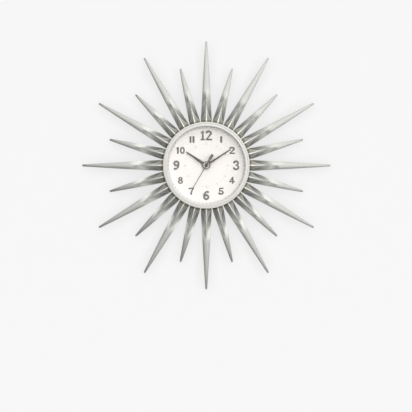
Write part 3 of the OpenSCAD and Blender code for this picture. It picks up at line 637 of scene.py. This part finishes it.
BUSH_HOLE_R, HOLE_ROUND, HOLE_DROP = 4.1, 0.2, 0.08
CHAPTER_RISE, CHAPTER_SLOPE = 0.7, 0.7
CHAPTER_HALF, CHAPTER_STEPS = 0.8, 10
INNER_RINGS, OUTER_RING = [20, 40, 55, 62, 63], 66
SPACER_W, SPACER_GAP = 2.5, 0.01


def lens_top(r):
    return LENS_FRONT - LENS_RISE * (r / LENS_R) ** 2


def make_bezel():
    """Skirt, lip over the lens, shallow band, and the flange with its round and its flat underside."""
    lip_top = BEZEL_FRONT - LIP_DROP
    over_lens = lens_top(OPENING_R) + LENS_GAP
    band = [i / BAND_STEPS for i in range(1, BAND_STEPS + 1)]
    outline = [(SKIRT_R, BEZEL_REAR), (SKIRT_R, lens_top(LENS_R) + LENS_GAP),
               (OPENING_R + OPENING_EDGE, over_lens), (OPENING_R, over_lens + OPENING_EDGE)]
    outline += corner(OPENING_R + LIP_ROUND, lip_top - LIP_ROUND, LIP_ROUND, 180, 90, 10)
    outline += [(BAND_R + (GROOVE_R - BAND_R) * t, lip_top - BAND_DIP * math.sin(math.pi / 2 * t))
                for t in band]
    outline += corner(BEZEL_R - FLANGE_ROUND, BEZEL_FRONT - FLANGE_ROUND, FLANGE_ROUND,
                      FLANGE_START_DEG, 0, 12)
    outline += corner(BEZEL_R - UNDER_ROUND, UNDER_Z + UNDER_ROUND, UNDER_ROUND, 0, -90)
    outline += [(SKIRT_R + SKIRT_T, UNDER_Z), (SKIRT_R + SKIRT_T, BEZEL_REAR)]
    return new_piece("bezel_turning", *lathe(outline, SEGMENTS), MATERIALS["silver_metal"],
                     BODY_OF["bezel"], "silver_metal", ("bezel",), smooth_angle=32.0)


def make_lens():
    """A shallow dome of even thickness over the dial."""
    radii = [LENS_R * i / LENS_STEPS for i in range(LENS_STEPS + 1)]
    outline = [(max(r, POLE_R), lens_top(r)) for r in radii]
    outline += [(LENS_R, LENS_REAR)]
    outline += [(max(r, POLE_R), lens_top(r) - LENS_T) for r in reversed(radii[:-1])]
    return new_piece("lens_dome", *lathe(outline, SEGMENTS // 2), MATERIALS["clear_lens"],
                     BODY_OF["lens"], "clear_lens", ("lens",), smooth_angle=50.0)


def chapter_z(r):
    """The dial's front level: flat, then one small step up to the ring that carries the minutes."""
    return DIAL_Z + CHAPTER_RISE * smoothstep(CHAPTER_R - CHAPTER_SLOPE, CHAPTER_R + CHAPTER_SLOPE, r)


def make_dial():
    """The printed sheet, from the hole for the bush to the rim that the spacer holds down."""
    seat_r, seat_z = STACK_R - SPACER_W, DIAL_Z - SPACER_GAP
    step = [CHAPTER_R + CHAPTER_HALF * (2 * i / CHAPTER_STEPS - 1) for i in range(CHAPTER_STEPS + 1)]
    radii = [BUSH_HOLE_R + HOLE_ROUND] + INNER_RINGS + step + [OUTER_RING, seat_r]
    outline = [(BUSH_HOLE_R, PLATE_TOP), (BUSH_HOLE_R, chapter_z(BUSH_HOLE_R) - HOLE_DROP)]
    outline += [(r, chapter_z(r)) for r in radii]
    outline += [(seat_r, seat_z), (STACK_R, seat_z), (STACK_R, PLATE_TOP)]
    return new_piece("dial_sheet", *lathe(outline, SEGMENTS), MATERIALS["dial_paper"],
                     BODY_OF["dial_face"], "dial_paper", ("dial_face",), smooth_angle=30.0)


# ---------------------------------------------------------------- minute tracks

PRINT_T, PRINT_FOOT = 0.12, 0.05
PRINT_SLOPE, PRINT_SIDE = 0.2, 0.6
# Each track: its radius, then the length and width of an hour's mark and of a minute's.
MINUTE_TRACK = (66.0, (1.7, 1.1), (1.1, 0.8))
INNER_TRACK = (37.0, (3.8, 0.6), (0.7, 0.6))


def add_mark(points, faces, radius, turn, length, width, level):
    """Adds one small raised bar with sloped sides, on a radius of the dial."""
    base = len(points)
    slope = min(width, length) * PRINT_SLOPE
    side_z = level + PRINT_T * PRINT_SIDE
    for z, inset in ((level - PRINT_FOOT, 0.0), (side_z, 0.0), (level + PRINT_T, slope)):
        for side_u, side_v in ((-1, -1), (-1, 1), (1, 1), (1, -1)):
            u = radius + side_u * (length / 2 - inset)
            points.append((*on_radius(u, side_v * (width / 2 - inset), turn), z))
    for low in (base, base + 4):
        for i in range(4):
            j = (i + 1) % 4
            faces.append((low + i, low + j, low + 4 + j, low + 4 + i))
    faces.append(tuple(base + 8 + i for i in range(4)))
    faces.append(tuple(base + 3 - i for i in range(4)))


def make_track(name, radius, hour_size, minute_size):
    """Sixty marks, each fifth one of the (length, width) of an hour."""
    points, faces = [], []
    for minute in range(60):
        length, width = minute_size if minute % 5 else hour_size
        add_mark(points, faces, radius, 6 * minute, length, width, chapter_z(radius))
    return new_piece(name, points, faces, TRACK_INK, BODY_OF["dial_face"], "hand_metal")


# ---------------------------------------------------------------- numerals
# Each numeral is a list of strokes, in units of its own height and centred on the origin. A
# stroke is a list of (x, y, half width).

HEAVY, FINE, BALL, BAR = 0.185, 0.13, 0.23, 0.235
BIG_NUMERALS = (12, 3, 6, 9)
BIG_H, SMALL_H = 16.6, 12.0
BIG_STRETCH, SMALL_STRETCH = 1.03, 1.19
BIG_T, SMALL_T, NUMERAL_FOOT = 0.8, 0.48, 0.1
BIG_EDGE, SMALL_EDGE = 0.5, 0.25
NUMERAL_R = 51.6
END_STEPS, SAME_POINT = 8, 1e-6


def arc(cx, cy, rx, ry, start, end, w0, w1, steps=18):
    """A stroke along part of an ellipse, with its width going from w0 to w1."""
    out = []
    for i in range(steps + 1):
        t = i / steps
        a = math.radians(start + (end - start) * t)
        out.append((cx + rx * math.cos(a), cy + ry * math.sin(a), (w0 + (w1 - w0) * t) / 2))
    return out


def line(x0, y0, x1, y1, width):
    return [(x0, y0, width / 2), (x1, y1, width / 2)]


def slab(x0, x1, y, width):
    return line(x0, y, x1, y, width)


def bar(x, width=BAR):
    """A plain upright stroke, as in the one and the eleven."""
    return [line(x, -0.5 + width / 2, x, 0.5 - width / 2, width)]


def flagged_bar(x, width):
    """The narrower one of ten and twelve, with a short flag at its head."""
    return bar(x, width) + [line(x, 0.5 - width * 0.55, x - 0.15, 0.5 - width * 1.15, FINE)]


def two(x=0.0):
    neck = arc(x - 0.02, 0.22, 0.235, 0.20, 150, -50, BALL, HEAVY)
    fall = [(x + 0.03, -0.08, 0.075), (x - 0.17, -0.30, 0.065), (x - 0.24, -0.41, 0.07)]
    return [neck + fall, slab(x - 0.24, x + 0.25, -0.5 + 0.085, 0.17)]


def three():
    return [arc(-0.01, 0.235, 0.205, 0.185, 155, -80, BALL, FINE),
            arc(-0.01, -0.20, 0.235, 0.215, 85, -155, FINE, HEAVY * 1.15)]


def four():
    return [line(0.07, 0.5 - HEAVY / 2, 0.07, -0.5 + HEAVY / 2, HEAVY),
            line(0.05, 0.42, -0.28, -0.16, FINE),
            slab(-0.29, 0.29, -0.19, 0.15)]


def five():
    return [slab(-0.16, 0.21, 0.5 - 0.08, 0.16),
            line(-0.17, 0.40, -0.20, 0.02, 0.14),
            arc(-0.03, -0.17, 0.25, 0.24, 125, -150, FINE, BALL)]


def six():
    return [arc(0.0, -0.20, 0.21, 0.215, 0, 360, HEAVY, HEAVY, 32),
            arc(0.17, -0.10, 0.385, 0.50, 180, 98, HEAVY, FINE),
            arc(0.10, 0.335, 0.07, 0.06, 100, 0, FINE, BALL * 0.9, 6)]


def seven():
    return [slab(-0.24, 0.25, 0.5 - 0.08, 0.16),
            line(-0.255, 0.42, -0.255, 0.30, 0.10),
            [(0.25, 0.40, 0.07), (0.10, 0.14, 0.075), (0.0, -0.14, 0.09), (-0.03, -0.41, 0.095)]]


def eight():
    return [arc(0, 0.235, 0.175, 0.18, 0, 360, 0.15, 0.15, 32),
            arc(0, -0.20, 0.215, 0.215, 0, 360, 0.165, 0.165, 32)]


def nine():
    return [[(-x, -y, w) for x, y, w in stroke] for stroke in six()]


def nought(x):
    return [arc(x, 0, 0.20, 0.41, 0, 360, 0.17, 0.17, 36)]


NUMERALS = {
    1: bar(0.0),
    2: two(),
    3: three(),
    4: four(),
    5: five(),
    6: six(),
    7: seven(),
    8: eight(),
    9: nine(),
    10: flagged_bar(-0.30, 0.20) + nought(0.24),
    11: bar(-0.10) + bar(0.26),
    12: flagged_bar(-0.35, HEAVY) + [slab(-0.51, -0.19, -0.5 + 0.07, 0.14)] + two(0.26),
}


def stroke_sides(stroke):
    """Whether a stroke is a closed ring, and the points along its left and right sides."""
    closed = math.dist(stroke[0][:2], stroke[-1][:2]) < SAME_POINT
    count = len(stroke)
    left, right = [], []
    for i, (x, y, w) in enumerate(stroke):
        before = stroke[(i - 1) % (count - 1)] if closed else stroke[max(i - 1, 0)]
        after = stroke[(i + 1) % (count - 1)] if closed else stroke[min(i + 1, count - 1)]
        dx, dy = after[0] - before[0], after[1] - before[1]
        size = math.hypot(dx, dy)
        nx, ny = -dy / size, dx / size
        left.append((x + nx * w, y + ny * w))
        right.append((x - nx * w, y - ny * w))
    return closed, left, right


def end_cap(stroke, last):
    """A half circle round one end of a stroke."""
    (x, y, w), (px, py, _) = (stroke[-1], stroke[-2]) if last else (stroke[0], stroke[1])
    left_side = math.atan2(y - py, x - px) + math.pi / 2
    angles = [left_side - math.pi * i / END_STEPS for i in range(1, END_STEPS)]
    return [(x + w * math.cos(a), y + w * math.sin(a)) for a in angles]


def stroke_mesh(stroke, size, low, high, name):
    """A prism of one stroke, in clock millimetres about the origin."""
    closed, left, right = stroke_sides(stroke)
    if closed:
        rows = [[p + (low,), p + (high,), q + (high,), q + (low,)] for p, q in zip(left[:-1], right[:-1])]
        points = [c for row in rows for c in row]
        faces = grid_faces(len(rows), 4, wrap_rows=True, wrap_columns=True)
    else:
        outline = left + end_cap(stroke, True) + right[::-1] + end_cap(stroke, False)
        n = len(outline)
        points = [p + (low,) for p in outline] + [p + (high,) for p in outline]
        faces = [(i, (i + 1) % n, n + (i + 1) % n, n + i) for i in range(n)]
        faces += [tuple(range(n))[::-1], tuple(range(n, 2 * n))]
    mesh = bpy.data.meshes.new(name)
    mesh.from_pydata([(x * size, y * size, z) for x, y, z in points], [], faces)
    face_outwards(mesh)
    obj = bpy.data.objects.new(name, mesh)
    bpy.context.scene.collection.objects.link(obj)
    return obj


def fused(objects):
    """One mesh from several overlapping solids."""
    first = objects[0]
    for other in objects[1:]:
        union = first.modifiers.new("union", "BOOLEAN")
        union.operation = "UNION"
        union.solver = "EXACT"
        union.object = other
    bpy.context.view_layer.update()
    joined = bpy.data.meshes.new_from_object(first.evaluated_get(bpy.context.evaluated_depsgraph_get()))
    for obj in objects:
        bpy.data.objects.remove(obj)
    return joined


def make_numeral(hour):
    """One upright numeral, fused from its strokes and set at its place on the dial."""
    big = hour in BIG_NUMERALS
    size, stretch, thick = (BIG_H, BIG_STRETCH, BIG_T) if big else (SMALL_H, SMALL_STRETCH, SMALL_T)
    ink, edge = (NUMERAL_INK, BIG_EDGE) if big else (SMALL_NUMERAL_INK, SMALL_EDGE)
    strokes = [stroke_mesh(stroke, size, DIAL_Z - NUMERAL_FOOT, DIAL_Z + thick, f"stroke_{i}")
               for i, stroke in enumerate(NUMERALS[hour])]
    shape = fused(strokes)
    x, y = on_radius(NUMERAL_R, 0.0, 30 * hour)
    points = [(v.co.x * stretch + x, v.co.y + y, v.co.z) for v in shape.vertices]
    faces = [tuple(p.vertices) for p in shape.polygons]
    made = new_piece(f"numeral_{hour:02d}", points, faces, ink, BODY_OF["dial_face"], "hand_metal",
                     smooth_angle=30.0)
    return with_bevel(made, edge, 40.0)


# ---------------------------------------------------------------- hands

BLADE_EDGE, EDGE_SHARE, EDGE_DROP, BLADE_FOOT = 0.18, 0.4, 0.75, 0.05
BLADE_STEPS, TAIL_STEPS = 24, 8
BLADE_ROOT_SHARE = 0.8
HUB_SEGMENTS, HUB_SINK = 72, 0.15
COLLAR_SHARE, COLLAR_TOP_SHARE, COLLAR_RISE = 0.35, 0.6, 0.25
BEAD_FOOT, BEAD_FROM, BEAD_TO, BEAD_RISE = 0.9, 0.6, 0.2, 0.14
HOUR_HUB_R, HOUR_BORE_R, HOUR_W, HOUR_TIP_W, HOUR_CROWN = 6.9, 2.58, 5.6, 2.0, 0.35
MINUTE_HUB_R, MINUTE_BORE_R, MINUTE_W, MINUTE_TIP_W, MINUTE_CROWN = 4.4, 1.78, 3.7, 1.8, 0.3
SECOND_HUB_R, SECOND_BORE_R, SECOND_TUBE_R, SECOND_EDGE = 2.0, 0.52, 1.1, 0.1
SECOND_W, SECOND_TIP_W, SECOND_T, SECOND_CROWN = 1.5, 1.1, 0.4, 0.12
SECOND_START, SECOND_START_HALF = 1.2, 0.55
TAIL_L, TAIL_START, TAIL_W, TAIL_END_W = 21.8, 1.0, 3.4, 5.2
CAP_BORE_DEPTH, CAP_EDGE, CAP_SIDE = 0.85, 0.1, 0.35


def blade(start, end, start_w, end_w, steps):
    """(distance, half width) pairs along a straight taper."""
    return [(start + (end - start) * i / steps, (start_w + (end_w - start_w) * i / steps) / 2)
            for i in range(steps + 1)]


def add_blade(rows, low, high, crown, turn, points, faces):
    """Adds a blade with a raised middle line and bevelled edges."""
    base = len(points)
    for u, w in rows:
        edge = min(BLADE_EDGE, w * EDGE_SHARE)
        side_z, edge_z = high - crown, high - crown * EDGE_DROP
        for v, z in ((-w, low), (-w, side_z), (-w + edge, edge_z), (0, high),
                     (w - edge, edge_z), (w, side_z), (w, low)):
            points.append((*on_radius(u, v, turn), z))
    faces += [tuple(base + i for i in face) for face in grid_faces(len(rows), 7, wrap_columns=True)]
    faces.append(tuple(base + i for i in range(7)))
    faces.append(tuple(base + (len(rows) - 1) * 7 + i for i in range(7))[::-1])


def add_turning(profile, points, faces):
    """Adds a closed lathe outline to a mesh being built."""
    base = len(points)
    more, more_faces = lathe(profile, HUB_SEGMENTS)
    points += more
    faces += [tuple(base + i for i in face) for face in more_faces]


def hub_profile(bore, outer, low, high):
    """A stamped hub: a raised collar at the bore, a flat, and a low bead round the edge."""
    collar = (outer - bore) * COLLAR_SHARE
    collar_z = high + COLLAR_RISE
    return [(bore, low), (bore, collar_z), (bore + collar * COLLAR_TOP_SHARE, collar_z),
            (bore + collar, high + 0.05), (outer - BEAD_FOOT, high + 0.02),
            (outer - BEAD_FROM, high + BEAD_RISE), (outer - BEAD_TO, high + BEAD_RISE - 0.02),
            (outer, high - 0.05), (outer, low)]


def make_hand(node, hub_r, bore_r, width, tip_width, crown):
    """A tapered blade that starts inside the edge of its hub."""
    low, high = depth(node)
    blade_start = hub_r * BLADE_ROOT_SHARE
    rows = blade(0.0, reach(node), width, tip_width, BLADE_STEPS)
    ahead = [row for row in rows if row[0] >= blade_start]
    points, faces = [], []
    add_blade([(blade_start, ahead[0][1])] + ahead, low + BLADE_FOOT, high, crown, farthest_turn(node),
              points, faces)
    add_turning(hub_profile(bore_r, hub_r, low, high - HUB_SINK), points, faces)
    return new_piece(f"{node}_stamping", points, faces, MATERIALS["hand_metal"], BODY_OF[node],
                     "hand_metal", (node,), smooth_angle=25.0)


def make_second_hand():
    """The thin second hand on its tube, with the flared tail."""
    node = "second_hand"
    low, high = depth(node)
    blade_low = high - SECOND_T
    turn = farthest_turn(node)
    rows = blade(0.0, reach(node), SECOND_W, SECOND_TIP_W, BLADE_STEPS)
    ahead = [(SECOND_START, SECOND_START_HALF)] + [row for row in rows if row[0] > SECOND_START]
    tail = blade(-TAIL_L, -TAIL_START, TAIL_END_W, TAIL_W, TAIL_STEPS)
    points, faces = [], []
    add_blade(ahead, blade_low, high, SECOND_CROWN, turn, points, faces)
    add_blade(tail, blade_low, high, SECOND_CROWN, turn, points, faces)
    add_turning([(SECOND_BORE_R, low), (SECOND_BORE_R, high), (SECOND_HUB_R - SECOND_EDGE, high),
                 (SECOND_HUB_R, high - SECOND_EDGE), (SECOND_HUB_R, blade_low),
                 (SECOND_TUBE_R, blade_low), (SECOND_TUBE_R, low)], points, faces)
    return new_piece("second_hand_stamping", points, faces, MATERIALS["second_hand_metal"],
                     BODY_OF[node], "second_hand_metal", (node,), smooth_angle=25.0)


def make_cap():
    """The black domed cap over the end of the seconds arbor."""
    node = "second_hand_cap"
    low, high = depth(node)
    cap_r = reach(node)
    bore_z = low + CAP_BORE_DEPTH
    profile = [(POLE_R, bore_z), (SECOND_BORE_R, bore_z), (SECOND_BORE_R, low),
               (cap_r - CAP_EDGE, low), (cap_r, low + CAP_EDGE)]
    for a in range(0, 91, 10):
        r = max(cap_r * math.cos(math.radians(a)), POLE_R)
        profile.append((r, low + (high - low) * (CAP_SIDE + (1 - CAP_SIDE) * math.sin(math.radians(a)))))
    return new_piece("second_hand_cap_dome", *lathe(profile, HUB_SEGMENTS), CAP_BLACK, BODY_OF[node],
                     "black_plastic", (node,), smooth_angle=30.0)


# ---------------------------------------------------------------- CAD nodes that stay

BEVELS = {
    "case_shell": 0.35, "movement_front_case": 0.35, "movement_rear_cover": 0.25, "wall_hanger": 0.2,
    "retaining_ring": 0.3, "setting_knob": 0.2, "battery": 0.35, "case_screws": 0.15, "bush_nut": 0.2,
}


def dress_cad_nodes():
    """Gives each CAD node that is still shown its material, and soft edges where they show."""
    for node, obj in NODES.items():
        if obj.hide_render:
            continue
        obj.data.materials.clear()
        obj.data.materials.append(MATERIALS[SLOT_OF[node]])
        if node in BEVELS:
            with_bevel(obj, BEVELS[node])


# ---------------------------------------------------------------- stage, light and camera
# Places and sizes from here on are in metres, in the row frame, with the camera at -y. Only the
# width of the camera's sensor is in millimetres.

WALL_GAP, WALL_HALF = 0.0003, 3.0
FLOOR_Z, FLOOR_FRONT = -1.3, 0.8
WALL_GLOW = 0.85
SHADE_REACH, SHADE_SHARE = 0.022, 0.22

SKY_SIDE = (0.42, -0.76, 0.70)
SKY_STRENGTH = 1.86
SKY_STOPS = (
    (0.22, (0.03, 0.03, 0.029)),
    (0.50, (0.05, 0.05, 0.049)),
    (0.62, (0.09, 0.09, 0.088)),
    (0.70, (0.23, 0.23, 0.228)),
    (0.77, (0.50, 0.50, 0.496)),
    (0.87, (0.82, 0.82, 0.816)),
    (0.97, (0.92, 0.92, 0.916)),
)
SUN_PLACE, SUN_ENERGY, SUN_SPREAD_DEG = (0.3, -3.0, 0.3), 0.6, 50
REAR_PLACE, REAR_ENERGY, REAR_SIZE = (1.2, 1.6, 1.0), 14, 1.2

CAMERA_DISTANCE, CAMERA_LEFT, CAMERA_DROP = 6.0, 0.0005, 0.0702
FRAME_WIDTH, SENSOR_WIDTH = 0.7144, 36.0


def wall_material():
    """White wall that glows by itself, a little less close to the clock, so that it stays as pale
    as the photo's ground. It isn't there for a camera behind the wall."""
    mat, tree, out = new_material("wall_paint")
    eye = add(tree, "ShaderNodeVectorTransform", Vector=(0, 0, 0))
    eye.vector_type = "POINT"
    eye.convert_from = "CAMERA"
    eye.convert_to = "WORLD"
    eye_y = add(tree, "ShaderNodeSeparateXYZ", Vector=eye.outputs[0]).outputs[1]
    behind = maths(tree, "GREATER_THAN", eye_y, 0.0)
    colour = mix_colour(tree, noise(tree, 30.0), rgba(0.07, 0.07, 0.07), rgba(0.078, 0.078, 0.078))
    paint = add(tree, "ShaderNodeBsdfDiffuse", Color=colour)
    # The wall's even glow keeps it pale; the glow is dimmed where the clock is near, as painted shadow.
    near = add(tree, "ShaderNodeAmbientOcclusion", Distance=SHADE_REACH)
    near.samples = 8
    strength = scaled(tree, near.outputs["AO"], WALL_GLOW * SHADE_SHARE, WALL_GLOW * (1 - SHADE_SHARE))
    glow = add(tree, "ShaderNodeEmission", Color=rgba(1, 1, 1), Strength=strength)
    lit = add(tree, "ShaderNodeAddShader", _0=paint.outputs[0], _1=glow.outputs[0])
    clear = add(tree, "ShaderNodeBsdfTransparent")
    both = add(tree, "ShaderNodeMixShader", _0=behind, _1=lit.outputs[0], _2=clear.outputs[0])
    tree.links.new(both.outputs[0], out.inputs["Surface"])
    return mat


def floor_material():
    mat, tree, out = new_material("pale_floor")
    finish_surface(tree, out, varied(tree, (0.80, 0.80, 0.79), 0.99, 1.01, 8.0), 0.0, 0.6)
    return mat


def stage_plane(name, corners, material):
    mesh = bpy.data.meshes.new(name)
    mesh.from_pydata(corners, [], [(0, 1, 2, 3)])
    mesh.materials.append(material)
    obj = bpy.data.objects.new(name, mesh)
    bpy.context.scene.collection.objects.link(obj)


def make_stage():
    """The wall just behind the clock, and the floor far below it."""
    side = WALL_HALF
    stage_plane("wall", [(-side, WALL_GAP, FLOOR_Z), (side, WALL_GAP, FLOOR_Z),
                         (side, WALL_GAP, side), (-side, WALL_GAP, side)], wall_material())
    stage_plane("floor", [(-side, -FLOOR_FRONT, FLOOR_Z), (side, -FLOOR_FRONT, FLOOR_Z),
                          (side, side, FLOOR_Z), (-side, side, FLOOR_Z)], floor_material())


def make_world():
    """A studio that is brightest in front of the clock, up and to the right, and dark behind it."""
    world = bpy.data.worlds.new("studio")
    bpy.context.scene.world = world
    world.use_nodes = True
    tree = world.node_tree
    tree.nodes.clear()
    out = tree.nodes.new("ShaderNodeOutputWorld")
    direction = tree.nodes.new("ShaderNodeTexCoord").outputs["Generated"]
    towards = add(tree, "ShaderNodeVectorMath", _0=direction, _1=Vector(SKY_SIDE).normalized())
    towards.operation = "DOT_PRODUCT"
    ramp = add(tree, "ShaderNodeValToRGB", Fac=scaled(tree, towards.outputs["Value"], 0.5, 0.5))
    stops = ramp.color_ramp.elements
    for stop, (place, tone) in zip(stops, (SKY_STOPS[0], SKY_STOPS[-1])):
        stop.position, stop.color = place, rgba(*tone)
    for place, tone in SKY_STOPS[1:-1]:
        stops.new(place).color = rgba(*tone)
    light = add(tree, "ShaderNodeBackground", Color=ramp.outputs[0], Strength=SKY_STRENGTH)
    tree.links.new(light.outputs[0], out.inputs["Surface"])


def add_light(name, kind, energy, place):
    """A light that looks at the middle of the clock's back."""
    data = bpy.data.lights.new(name, kind)
    data.energy = energy
    obj = bpy.data.objects.new(name, data)
    bpy.context.scene.collection.objects.link(obj)
    obj.location = place
    obj.rotation_mode = "QUATERNION"
    obj.rotation_quaternion = (-Vector(place)).to_track_quat("-Z", "Y")
    return data


def make_lights():
    """A very soft sun from the front, and a soft box for views from behind."""
    sun = add_light("front_sun", "SUN", SUN_ENERGY, SUN_PLACE)
    sun.angle = math.radians(SUN_SPREAD_DEG)
    rear = add_light("rear_soft", "AREA", REAR_ENERGY, REAR_PLACE)
    rear.size = REAR_SIZE


def make_camera():
    """A long lens straight in front, low enough to put the clock where the photo has it."""
    data = bpy.data.cameras.new("photo_view")
    data.sensor_width = SENSOR_WIDTH
    data.lens = SENSOR_WIDTH * CAMERA_DISTANCE / FRAME_WIDTH
    obj = bpy.data.objects.new("photo_view", data)
    bpy.context.scene.collection.objects.link(obj)
    obj.location = (-CAMERA_LEFT, -CAMERA_DISTANCE, -CAMERA_DROP)
    obj.rotation_euler = (math.pi / 2, 0, 0)
    bpy.context.scene.camera = obj


# ---------------------------------------------------------------- everything, in order


make_rays()
make_bezel()
make_lens()
make_dial()
make_track("minute_track", *MINUTE_TRACK)
make_track("inner_track", *INNER_TRACK)
for hour in range(1, 13):
    make_numeral(hour)
make_hand("hour_hand", HOUR_HUB_R, HOUR_BORE_R, HOUR_W, HOUR_TIP_W, HOUR_CROWN)
make_hand("minute_hand", MINUTE_HUB_R, MINUTE_BORE_R, MINUTE_W, MINUTE_TIP_W, MINUTE_CROWN)
make_second_hand()
make_cap()
dress_cad_nodes()

make_stage()
make_world()
make_lights()
make_camera()
bpy.context.scene.view_settings.view_transform = "Standard"
